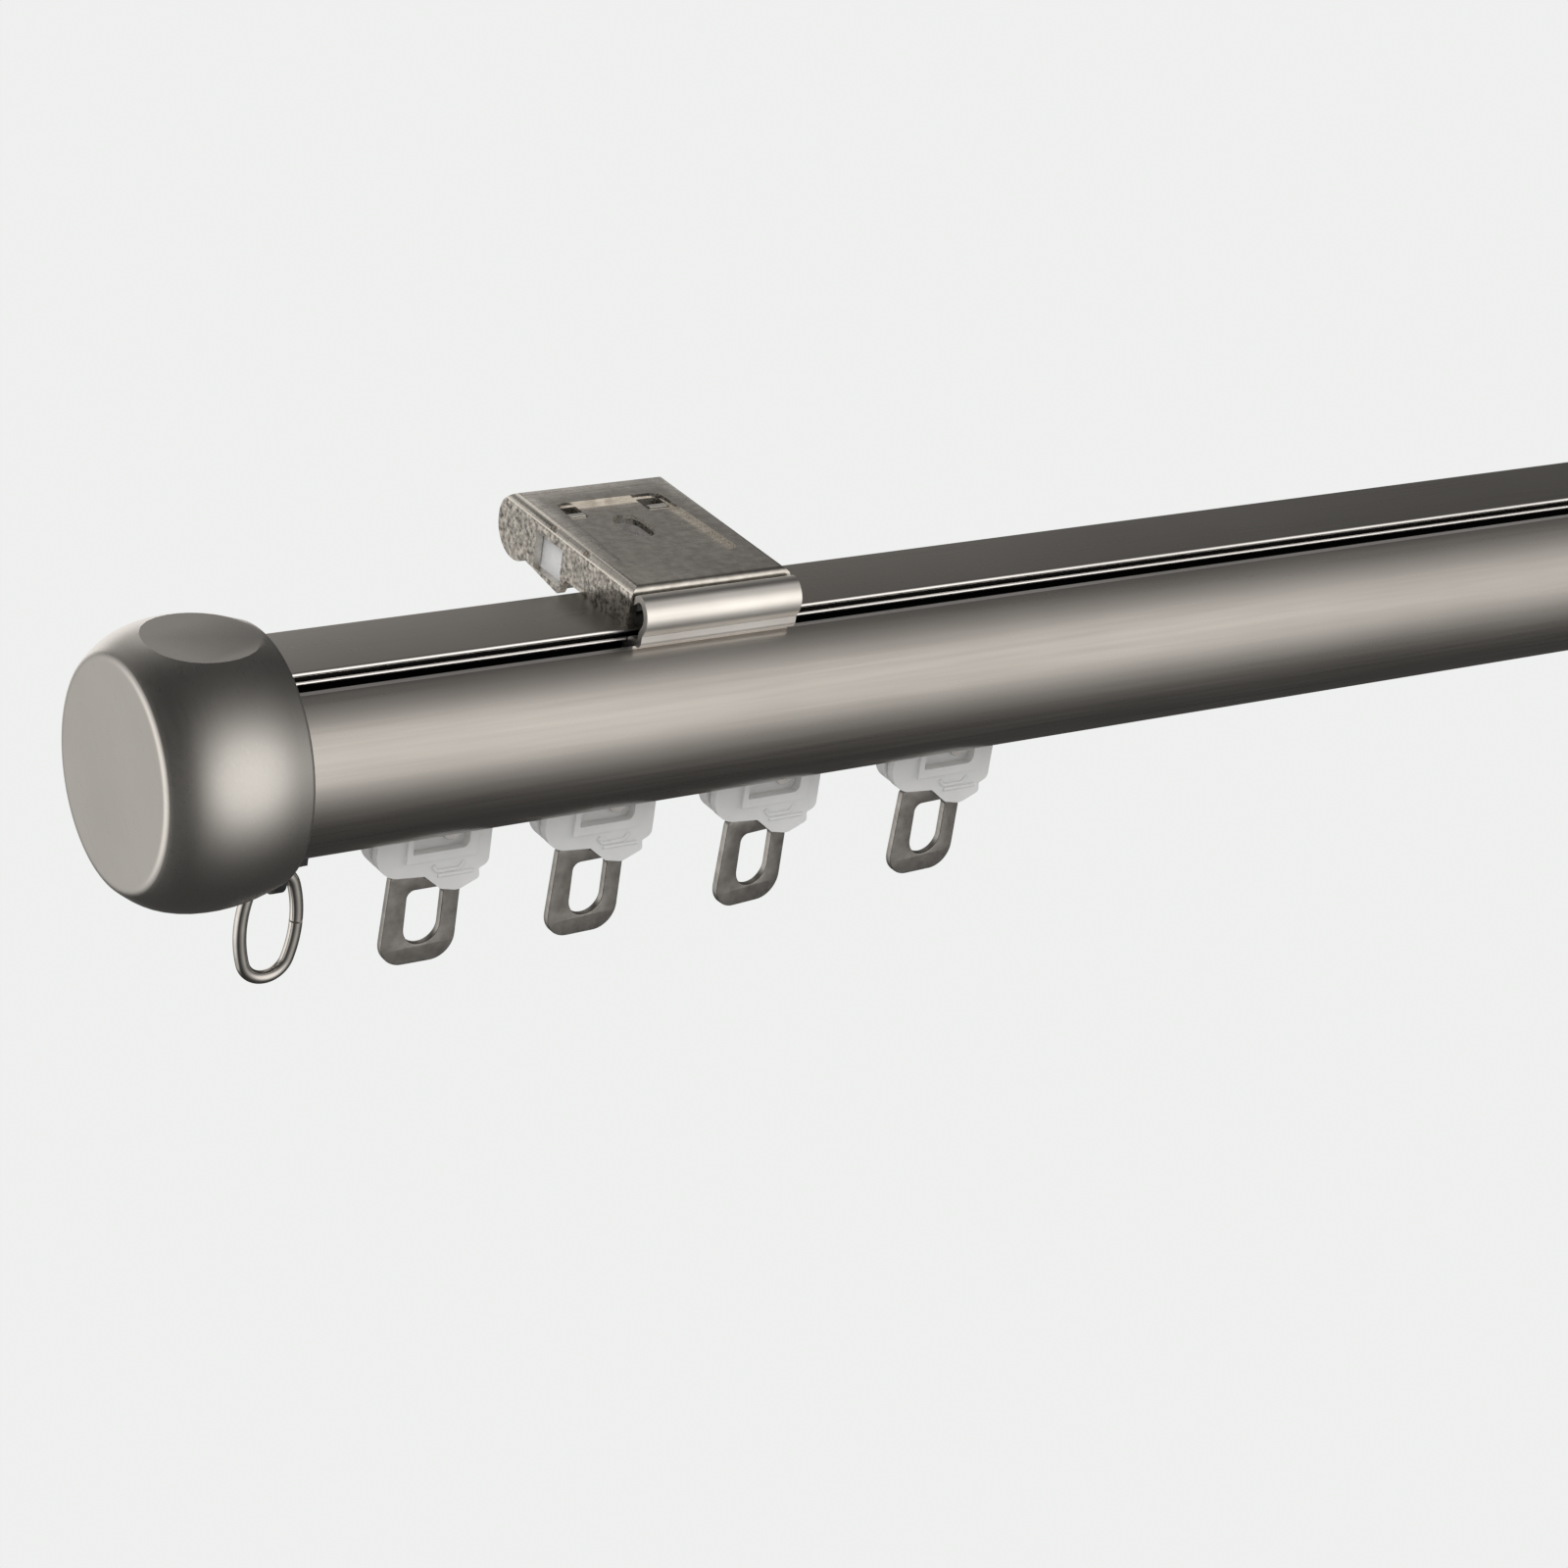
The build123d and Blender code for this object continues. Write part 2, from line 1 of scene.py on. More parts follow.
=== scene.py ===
"""Looks for the curtain track: an aluminium rail with caps, ceiling brackets, end rings and wheeled runners.

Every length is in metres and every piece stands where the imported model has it. MM turns the sizes, which
are written in millimetres, into metres.
"""

import json
import logging
import math
from collections.abc import Iterator
from contextlib import contextmanager
from dataclasses import dataclass
from enum import Enum

import bmesh
import bpy
from mathutils import Matrix, Vector

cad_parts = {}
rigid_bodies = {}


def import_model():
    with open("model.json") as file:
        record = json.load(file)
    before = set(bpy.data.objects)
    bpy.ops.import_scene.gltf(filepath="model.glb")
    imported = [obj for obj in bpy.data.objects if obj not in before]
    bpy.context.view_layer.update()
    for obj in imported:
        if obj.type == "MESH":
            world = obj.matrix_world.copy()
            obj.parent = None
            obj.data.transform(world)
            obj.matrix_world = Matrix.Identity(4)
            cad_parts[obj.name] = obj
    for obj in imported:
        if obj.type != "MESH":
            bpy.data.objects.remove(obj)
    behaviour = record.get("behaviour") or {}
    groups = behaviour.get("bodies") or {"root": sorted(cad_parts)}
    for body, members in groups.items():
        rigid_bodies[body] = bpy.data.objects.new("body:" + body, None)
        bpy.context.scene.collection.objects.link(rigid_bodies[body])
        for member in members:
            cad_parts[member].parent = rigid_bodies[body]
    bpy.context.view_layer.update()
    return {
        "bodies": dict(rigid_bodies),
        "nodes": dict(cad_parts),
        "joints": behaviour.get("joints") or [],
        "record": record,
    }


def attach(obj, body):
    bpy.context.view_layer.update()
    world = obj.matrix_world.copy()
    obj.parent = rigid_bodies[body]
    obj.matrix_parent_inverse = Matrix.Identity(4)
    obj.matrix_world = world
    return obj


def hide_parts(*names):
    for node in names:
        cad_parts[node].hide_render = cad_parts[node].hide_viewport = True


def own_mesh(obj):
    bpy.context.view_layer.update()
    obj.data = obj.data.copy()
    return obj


log = logging.getLogger("curtain_track")

MM = 0.001
WELD = 1e-6
FINE_WELD = 1e-7
FLAT = math.radians(1)
BEVEL_SPANS = 2
NOISE_MIDDLE = (0.3, 0.7)
HALF_TRACK = 302.5
# Each runner's distance from the track's left end in millimetres, and its eye's turn in degrees
RUNNERS = ((40.3, 0.0), (62.3, 2.0), (85.6, 6.0), (111.3, 3.0))

Point2 = tuple[float, float]
Point3 = tuple[float, float, float]
Colour = tuple[float, float, float]
Socket = bpy.types.NodeSocket


class Side(Enum):
    """One end of the track, with the sign of its X."""

    LEFT = -1
    RIGHT = 1

    @property
    def word(self) -> str:
        """The side's name as the nodes use it."""
        return self.name.lower()


class Grain(Enum):
    """How a finish's fine marks run: their stretch along X, Y and Z, and their turn about X in degrees."""

    ALONG_RAIL = (50.0, 1.0, 1.0, 0.0)
    EVEN = (1.0, 1.0, 1.0, 0.0)
    SLANTED = (1.0, 25.0, 1.0, 40.0)


class Check(Enum):
    """How a part of a place or facing is compared with a limit, with its sign or without it."""

    OVER = ("GREATER_THAN", "signed")
    UNDER = ("LESS_THAN", "signed")
    FURTHER = ("GREATER_THAN", "unsigned")
    NEARER = ("LESS_THAN", "unsigned")


# Finishes


def maths(tree: bpy.types.NodeTree, operation: str, *values: object) -> Socket:
    """Works out a value in a tree of shader nodes from numbers, or from the sockets that give them."""
    made = tree.nodes.new("ShaderNodeMath")
    made.operation = operation
    for socket, value in zip(made.inputs, values):
        if isinstance(value, float):
            socket.default_value = value
        else:
            tree.links.new(value, socket)
    return made.outputs[0]


class NodeBench:
    """Builds a material's nodes one after another."""

    def __init__(self, name: str) -> None:
        """Starts an empty material that holds only its shader."""
        self.material = bpy.data.materials.new(name)
        self.material.use_nodes = True
        self.tree = self.material.node_tree
        self.shader = self.tree.nodes["Principled BSDF"]
        coordinates = self.tree.nodes.new("ShaderNodeTexCoord")
        self.place = coordinates.outputs["Object"]
        self.facing = coordinates.outputs["Normal"]

    def noise(self, scale: float, detail: float, grain: Grain) -> Socket:
        """A noise on the piece's own coordinates.

        Args:
            scale: marks per metre.
            detail: octaves of finer marks.
            grain: the direction of the marks.

        Returns:
            The noise's value socket.
        """
        *stretch, turn = grain.value
        mapping = self.tree.nodes.new("ShaderNodeMapping")
        mapping.vector_type = "TEXTURE"
        mapping.inputs["Rotation"].default_value = (math.radians(turn), 0, 0)
        mapping.inputs["Scale"].default_value = stretch
        self.tree.links.new(self.place, mapping.inputs["Vector"])
        noise = self.tree.nodes.new("ShaderNodeTexNoise")
        noise.inputs["Scale"].default_value = scale
        noise.inputs["Detail"].default_value = detail
        self.tree.links.new(mapping.outputs["Vector"], noise.inputs["Vector"])
        return noise.outputs["Fac"]

    def spread(self, value: Socket, low: float = 0.0, high: float = 1.0) -> Socket:
        """Maps the middle of a noise onto a range.

        Args:
            value: the noise.
            low: the result at the lower end of NOISE_MIDDLE.
            high: the result at its upper end.

        Returns:
            The mapped socket.
        """
        mapped = self.tree.nodes.new("ShaderNodeMapRange")
        limits = {"From Min": NOISE_MIDDLE[0], "From Max": NOISE_MIDDLE[1], "To Min": low, "To Max": high}
        for socket, limit in limits.items():
            mapped.inputs[socket].default_value = limit
        self.tree.links.new(value, mapped.inputs["Value"])
        return mapped.outputs["Result"]

    def mix(self, factor: Socket, below: object, above: object) -> Socket:
        """Mixes two colours by a value.

        Args:
            factor: 0 gives the lower colour and 1 gives the upper one.
            below: the lower colour, or its socket.
            above: the upper colour, or its socket.

        Returns:
            The colour socket.
        """
        mix = self.tree.nodes.new("ShaderNodeMix")
        mix.data_type = "RGBA"
        inputs = [socket for socket in mix.inputs if socket.enabled and socket.type == "RGBA"]
        for socket, colour in zip(inputs, (below, above)):
            if isinstance(colour, tuple):
                socket.default_value = (*colour, 1)
            else:
                self.tree.links.new(colour, socket)
        self.tree.links.new(factor, mix.inputs["Factor"])
        return next(socket for socket in mix.outputs if socket.type == "RGBA")

    def test(self, vector: Socket, axis: str, check: Check, limit: float) -> Socket:
        """Tells where one part of a vector passes a check.

        Args:
            vector: the place or the facing.
            axis: X, Y or Z.
            check: how the part is compared.
            limit: what it is compared with.

        Returns:
            A socket that is 1 where the check holds and 0 elsewhere.
        """
        parts = self.tree.nodes.new("ShaderNodeSeparateXYZ")
        self.tree.links.new(vector, parts.inputs[0])
        part = parts.outputs[axis]
        operation, sign = check.value
        if sign == "unsigned":
            part = maths(self.tree, "ABSOLUTE", part)
        return maths(self.tree, operation, part, limit)

    def where(self, *masks: Socket) -> Socket:
        """1 where every mask is 1, and 0 elsewhere."""
        total = masks[0]
        for mask in masks[1:]:
            total = maths(self.tree, "MULTIPLY", total, mask)
        return total

    def bump(self, value: Socket, strength: float, depth: float) -> None:
        """Raises the surface by a value.

        Args:
            value: the height, 0 to 1.
            strength: how much of the bump counts.
            depth: the height of the marks in metres.
        """
        bump = self.tree.nodes.new("ShaderNodeBump")
        bump.inputs["Strength"].default_value = strength
        bump.inputs["Distance"].default_value = depth
        self.tree.links.new(value, bump.inputs["Height"])
        self.tree.links.new(bump.outputs["Normal"], self.shader.inputs["Normal"])

    def feed(self, value: Socket, socket: str) -> None:
        """Links a value to one of the shader's sockets."""
        self.tree.links.new(value, self.shader.inputs[socket])


@dataclass(frozen=True)
class Finish:
    """A surface with a grain, patches and a fine bump, which each kind of material adds to.

    Scales are in marks per metre, and details in octaves of finer marks.
    """

    name: str
    dark: Colour
    light: Colour
    roughness: Point2
    grain: Grain = Grain.EVEN
    grain_scale: float = 900.0
    grain_detail: float = 4.0
    patch_scale: float = 60.0
    patch_detail: float = 3.0
    bump_strength: float = 0.15
    bump_depth: float = 0.00003

    def build(self) -> bpy.types.Material:
        """Makes the material."""
        bench = NodeBench(self.name)
        fine = bench.noise(self.grain_scale, self.grain_detail, self.grain)
        patches = bench.noise(self.patch_scale, self.patch_detail, Grain.EVEN)
        colour = bench.mix(bench.spread(patches), self.dark, self.light)
        bench.feed(self.tint(bench, colour), "Base Color")
        bench.feed(bench.spread(fine, *self.roughness), "Roughness")
        bench.bump(fine, self.bump_strength, self.bump_depth)
        for socket, value in self.settings().items():
            bench.shader.inputs[socket].default_value = value
        return bench.material

    def tint(self, bench: NodeBench, colour: Socket) -> Socket:
        """The colour as it is: a finish with marked places changes it."""
        return colour

    def settings(self) -> dict[str, object]:
        """The shader's fixed values."""
        return {}


@dataclass(frozen=True)
class MetalFinish(Finish):
    """A metal surface."""

    def settings(self) -> dict[str, object]:
        """Makes the shader a metal."""
        return {"Metallic": 1.0}


@dataclass(frozen=True)
class RailFinish(MetalFinish):
    """Satin aluminium with a painted highlight along the edges of the head and painted shade down in the
    grooves beside it.
    """

    edge: Point2 = (4.95 * MM, -1.8 * MM)
    side_groove: Point2 = (6.7 * MM, -3.5 * MM)
    edge_groove: Point2 = (4.95 * MM, -0.55 * MM)
    # Painted light: a near-white painted highlight for the head's edges and a near-black painted shade for
    # the grooves
    bright: Colour = (0.97, 0.95, 0.93)
    shadow: Colour = (0.02, 0.019, 0.018)

    def tint(self, bench: NodeBench, colour: Socket) -> Socket:
        """Paints a highlight on the head's edges and paints shade into the grooves."""
        # Painted highlight: the base colour is lifted to near white along the head's rounded edges
        out = bench.test(bench.place, "Y", Check.FURTHER, self.edge[0])
        high = bench.test(bench.place, "Z", Check.OVER, self.edge[1])
        highlit_and_shaded = bench.mix(bench.where(out, high), colour, self.bright)
        # Painted shade: the grooves beside the head and under its edges are coloured nearly black
        floor = bench.test(bench.place, "Z", Check.OVER, self.side_groove[1])
        for reach, top in ((self.side_groove[0], self.edge[1]), self.edge_groove):
            inside = bench.test(bench.place, "Y", Check.NEARER, reach)
            low = bench.test(bench.place, "Z", Check.UNDER, top)
            highlit_and_shaded = bench.mix(bench.where(inside, low, floor), highlit_and_shaded, self.shadow)
        return highlit_and_shaded


@dataclass(frozen=True)
class BracketFinish(MetalFinish):
    """Nickel on pressed steel whose side walls are pitted, with a painted highlight on its upper bends."""

    steep: float = 0.8
    bent: float = 0.25
    wall_top: float = 4.2 * MM
    pit_scale: float = 1900.0
    pit_detail: float = 2.0
    pit: Colour = (0.1, 0.095, 0.085)
    crest: Colour = (0.62, 0.59, 0.54)
    # Painted highlight: the near-white colour put on the upper bends
    worn: Colour = (0.97, 0.93, 0.86)

    def tint(self, bench: NodeBench, colour: Socket) -> Socket:
        """Paints a highlight on the bends that lean to the left or right, and pits the walls below them."""
        # Painted highlight: upper bends that face left or right are coloured nearly white
        bend = bench.test(bench.facing, "X", Check.FURTHER, self.bent)
        high = bench.test(bench.place, "Z", Check.OVER, self.wall_top)
        worn = bench.mix(bench.where(bend, high), colour, self.worn)
        marks = bench.noise(self.pit_scale, self.pit_detail, Grain.EVEN)
        pits = bench.mix(bench.spread(marks), self.pit, self.crest)
        steep = bench.test(bench.facing, "X", Check.FURTHER, self.steep)
        low = bench.test(bench.place, "Z", Check.UNDER, self.wall_top)
        return bench.mix(bench.where(steep, low), worn, pits)


@dataclass(frozen=True)
class PlasticFinish(Finish):
    """A moulded plastic, from solid to milky."""

    grain_scale: float = 1500.0
    grain_detail: float = 3.0
    patch_scale: float = 220.0
    patch_detail: float = 2.0
    bump_strength: float = 0.1
    bump_depth: float = 0.00002
    milkiness: float = 0.0
    milk_tint: Colour = (1.0, 0.95, 0.9)
    milk_reach: float = 0.0012
    bending: float = 1.49

    def settings(self) -> dict[str, object]:
        """Lets light sink in and sets how strongly the surface bends it."""
        return {"Subsurface Weight": self.milkiness, "Subsurface Radius": self.milk_tint,
                "Subsurface Scale": self.milk_reach, "IOR": self.bending}


class Finishes:
    """Every finish of the track, made once."""

    def __init__(self) -> None:
        """Builds the materials."""
        finishes = (
            RailFinish("rail_satin", (0.44, 0.42, 0.395), (0.5, 0.48, 0.455), (0.25, 0.37),
                        grain=Grain.ALONG_RAIL, grain_scale=1600.0, patch_scale=25.0,
                        bump_strength=0.2, bump_depth=0.00001),
            MetalFinish("cap_satin", (0.54, 0.525, 0.5), (0.57, 0.555, 0.53), (0.27, 0.33),
                        grain=Grain.SLANTED, grain_scale=4500.0, patch_scale=90.0,
                        bump_strength=0.06, bump_depth=0.00001),
            BracketFinish("bracket_nickel", (0.54, 0.51, 0.465), (0.76, 0.73, 0.68), (0.18, 0.34),
                        grain=Grain.ALONG_RAIL, grain_scale=2600.0, patch_scale=900.0,
                        bump_strength=0.45, bump_depth=0.00005),
            MetalFinish("hook_nickel", (0.84, 0.81, 0.77), (0.96, 0.94, 0.9), (0.3, 0.42),
                        grain=Grain.ALONG_RAIL, grain_scale=1800.0, patch_scale=120.0,
                        bump_strength=0.2, bump_depth=0.00002),
            MetalFinish("eye_dull", (0.25, 0.24, 0.228), (0.36, 0.348, 0.332), (0.3, 0.48),
                        grain=Grain.SLANTED, grain_scale=3000.0, patch_scale=700.0,
                        bump_strength=0.3, bump_depth=0.00002),
            MetalFinish("ring_bright", (0.5, 0.485, 0.46), (0.62, 0.6, 0.575), (0.04, 0.1),
                        grain_scale=900.0, patch_scale=400.0, bump_strength=0.05),
            MetalFinish("plain_steel", (0.5, 0.49, 0.48), (0.62, 0.61, 0.6), (0.22, 0.34),
                        grain_scale=1200.0, patch_scale=400.0),
            PlasticFinish("runner_milky", (0.76, 0.755, 0.74), (0.81, 0.805, 0.79), (0.28, 0.42),
                          milkiness=0.3),
            PlasticFinish("wheel_nylon", (0.72, 0.72, 0.7), (0.78, 0.78, 0.76), (0.34, 0.46), milkiness=0.3),
            PlasticFinish("latch_white", (0.86, 0.86, 0.86), (0.91, 0.91, 0.91), (0.2, 0.32), milkiness=0.2),
            PlasticFinish("stop_dark", (0.02, 0.02, 0.021), (0.035, 0.035, 0.036), (0.4, 0.55)),
        )
        self.materials = {finish.name: finish.build() for finish in finishes}

    def __getitem__(self, name: str) -> bpy.types.Material:
        """The material of that name."""
        return self.materials[name]


# Shared ways of making a piece


def put(name: str, data: bpy.types.ID) -> bpy.types.Object:
    """Makes an object of some data and puts it in the scene."""
    thing = bpy.data.objects.new(name, data)
    bpy.context.scene.collection.objects.link(thing)
    return thing


def baked(name: str, source: bpy.types.Object) -> bpy.types.Mesh:
    """The plain mesh, by a new name, of an object with its modifiers, which is then removed."""
    bpy.context.view_layer.update()
    ready = source.evaluated_get(bpy.context.evaluated_depsgraph_get())
    mesh = bpy.data.meshes.new_from_object(ready)
    mesh.name = name
    bpy.data.objects.remove(source)
    return mesh


@contextmanager
def editing(mesh: bpy.types.Mesh) -> Iterator[bmesh.types.BMesh]:
    """Opens a mesh for editing and writes the result back into it."""
    work = bmesh.new()
    work.from_mesh(mesh)
    yield work
    work.to_mesh(mesh)
    work.free()


def polylines(name: str, lines: list[list[Point3]], closed: bool = False) -> bpy.types.Curve:
    """A curve of straight runs, from the points of each line in metres."""
    curve = bpy.data.curves.new(name, "CURVE")
    curve.dimensions = "3D"
    for line in lines:
        spline = curve.splines.new("POLY")
        spline.points.add(len(line) - 1)
        spline.use_cyclic_u = closed
        for point, place in zip(spline.points, line):
            point.co = (*place, 1)
    return curve


def arc(centre: Point2, radius: float, start: float, end: float, steps: int) -> list[Point2]:
    """Points along a circular arc.

    Args:
        centre: the arc's centre.
        radius: its radius.
        start: the first angle in degrees.
        end: the last angle in degrees.
        steps: the number of spans.

    Returns:
        steps + 1 points.
    """
    angles = [math.radians(start + (end - start) * i / steps) for i in range(steps + 1)]
    return [(centre[0] + radius * math.cos(a), centre[1] + radius * math.sin(a)) for a in angles]


def rounded(corners: tuple[Point2, ...], radii: tuple[float, ...], steps: int) -> list[Point2]:
    """A closed outline with each corner rounded.

    Args:
        corners: the corners in order.
        radii: a radius for each corner.
        steps: the spans of each rounding.

    Returns:
        The outline's points.
    """
    points: list[Point2] = []
    count = len(corners)
    for i, (corner, radius) in enumerate(zip(corners, radii)):
        here = Vector(corner)
        before = (Vector(corners[i - 1]) - here).normalized()
        after = (Vector(corners[(i + 1) % count]) - here).normalized()
        half = before.angle(after) / 2
        tangent = radius / math.tan(half)
        middle = here + (before + after).normalized() * (radius / math.sin(half))
        first = here + before * tangent - middle
        last = here + after * tangent - middle
        for step in range(steps + 1):
            turned = first.slerp(last, step / steps).normalized() * radius
            points.append((middle.x + turned.x, middle.y + turned.y))
    return points


def mesh_of(name: str, points: list[Vector], faces: list[tuple[int, ...]]) -> bpy.types.Mesh:
    """A mesh from points and faces, its normals turned outwards.

    Args:
        name: the mesh's name.
        points: the corners in metres.
        faces: the corners of each face.

    Returns:
        The mesh.
    """
    mesh = bpy.data.meshes.new(name)
    mesh.from_pydata(points, [], faces)
    with editing(mesh) as work:
        bmesh.ops.remove_doubles(work, verts=work.verts, dist=FINE_WELD)
        bmesh.ops.recalc_face_normals(work, faces=work.faces)
    return mesh


def lathe(name: str, profile: list[Point2], steps: int, place: Matrix) -> bpy.types.Mesh:
    """A closed body turned about a line.

    Args:
        name: the mesh's name.
        profile: (along, radius) points in metres from one end of the line to the other.
        steps: the number of spans round the line.
        place: takes the turning line, +X, to where it belongs.

    Returns:
        The mesh.
    """
    points: list[Vector] = []
    faces: list[tuple[int, ...]] = []
    for along, radius in profile:
        for step in range(steps):
            turn = math.tau * step / steps
            points.append(place @ Vector((along, radius * math.cos(turn), radius * math.sin(turn))))
    for row in range(len(profile) - 1):
        for step in range(steps):
            a = row * steps + step
            b = row * steps + (step + 1) % steps
            faces.append((a, b, b + steps, a + steps))
    faces.append(tuple(range(steps)))
    faces.append(tuple(range((len(profile) - 1) * steps, len(profile) * steps)))
    return mesh_of(name, points, faces)


def soften(thing: bpy.types.Object, width: float, angle: float = 35.0) -> None:
    """Rounds a piece's sharp edges and smooths the rest.

    Args:
        thing: the piece.
        width: the rounding's width in metres.
        angle: edges that turn more than this many degrees are rounded.
    """
    mesh = thing.data
    mesh.shade_smooth()
    mesh.set_sharp_from_angle(angle=math.radians(angle))
    if width > 0:
        bevel = thing.modifiers.new("edges", "BEVEL")
        bevel.width = width
        bevel.segments = BEVEL_SPANS
        bevel.limit_method = "ANGLE"
        bevel.angle_limit = math.radians(angle)
        bevel.harden_normals = True
        bevel.use_clamp_overlap = True


@dataclass
class Seat:
    """Where a finished piece goes: its body, its material slot and the nodes that it stands for."""

    body: str
    slot: str
    nodes: tuple[str, ...] = ()


class Shop:
    """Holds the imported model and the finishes, and seats each finished piece."""

    def __init__(self, frame: dict) -> None:
        self.nodes = frame["nodes"]
        self.finishes = Finishes()

    def piece(self, name: str, mesh: bpy.types.Mesh, finish: str, seat: Seat) -> bpy.types.Object:
        """Makes an object of a mesh, dresses it and seats it.

        Args:
            name: the piece's name.
            mesh: its mesh, in place.
            finish: the name of its finish.
            seat: where it goes.

        Returns:
            The piece.
        """
        thing = put(name, mesh)
        mesh.materials.clear()
        mesh.materials.append(self.finishes[finish])
        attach(thing, seat.body)
        if seat.nodes:
            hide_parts(*seat.nodes)
        log.info("%s: %d faces", name, len(mesh.polygons))
        return thing

    def copy_of(self, node: str, name: str, finish: str, seat: Seat, width: float) -> bpy.types.Object:
        """A smooth copy of a CAD node, with its edges rounded.

        Args:
            node: the CAD node.
            name: the new piece's name.
            finish: the name of its finish.
            seat: where it goes.
            width: the rounding of its edges in metres.

        Returns:
            The piece.
        """
        mesh = self.nodes[node].data.copy()
        mesh.name = name
        with editing(mesh) as work:
            bmesh.ops.remove_doubles(work, verts=work.verts, dist=WELD)
            bmesh.ops.dissolve_limit(work, angle_limit=FLAT, verts=work.verts, edges=work.edges)
        thing = self.piece(name, mesh, finish, seat)
        soften(thing, width)
        return thing


class Tree:
    """Builds a Geometry Nodes tree one node after another."""

    def __init__(self, name: str) -> None:
        """Starts a tree with a geometry going in and one coming out."""
        self.tree = bpy.data.node_groups.new(name, "GeometryNodeTree")
        self.tree.interface.new_socket(name="Geometry", in_out="INPUT", socket_type="NodeSocketGeometry")
        self.tree.interface.new_socket(name="Geometry", in_out="OUTPUT", socket_type="NodeSocketGeometry")
        self.start = self.tree.nodes.new("NodeGroupInput")
        self.end = self.tree.nodes.new("NodeGroupOutput")

    def size(self, name: str, kind: str = "NodeSocketFloat") -> Socket:
        """Adds a named size to the tree's inputs."""
        self.tree.interface.new_socket(name=name, in_out="INPUT", socket_type=kind)
        return self.start.outputs[name]

    def node(self, kind: str, links: dict, values: dict | None = None, **settings: object) -> bpy.types.Node:
        """Adds a node.

        Args:
            kind: the node's type.
            links: its input sockets, by name or number, and what feeds each.
            values: fixed values, by the input's name or number.
            settings: the node's own properties.

        Returns:
            The node.
        """
        made = self.tree.nodes.new(kind)
        for key, value in settings.items():
            setattr(made, key, value)
        for key, value in (values or {}).items():
            made.inputs[key].default_value = value
        for key, socket in links.items():
            self.tree.links.new(socket, made.inputs[key])
        return made

    def join(self, *geometries: Socket) -> Socket:
        """Joins geometries into one."""
        made = self.node("GeometryNodeJoinGeometry", {})
        for geometry in geometries:
            self.tree.links.new(geometry, made.inputs[0])
        return made.outputs[0]

    def close(self, geometry: Socket, material: bpy.types.Material) -> None:
        """Ends the tree in Realize Instances and Set Material.

        Args:
            geometry: what the tree has made.
            material: the finish.
        """
        real = self.node("GeometryNodeRealizeInstances", {0: geometry})
        dressed = self.node("GeometryNodeSetMaterial", {"Geometry": real.outputs[0]}, {"Material": material})
        self.tree.links.new(dressed.outputs[0], self.end.inputs[0])

    def run(self, name: str, mesh: bpy.types.ID, sizes: dict) -> bpy.types.Mesh:
        """Runs the tree on a mesh or curve.

        Args:
            name: the result's name.
            mesh: the mesh or curve data that goes in.
            sizes: the tree's sizes by name.

        Returns:
            The plain mesh.
        """
        thing = put(name, mesh)
        modifier = thing.modifiers.new("shape", "NODES")
        modifier.node_group = self.tree
        for item in self.tree.interface.items_tree:
            if item.in_out == "INPUT" and item.name in sizes:
                modifier[item.identifier] = sizes[item.name]
        return baked(name, thing)


# The track's own pieces


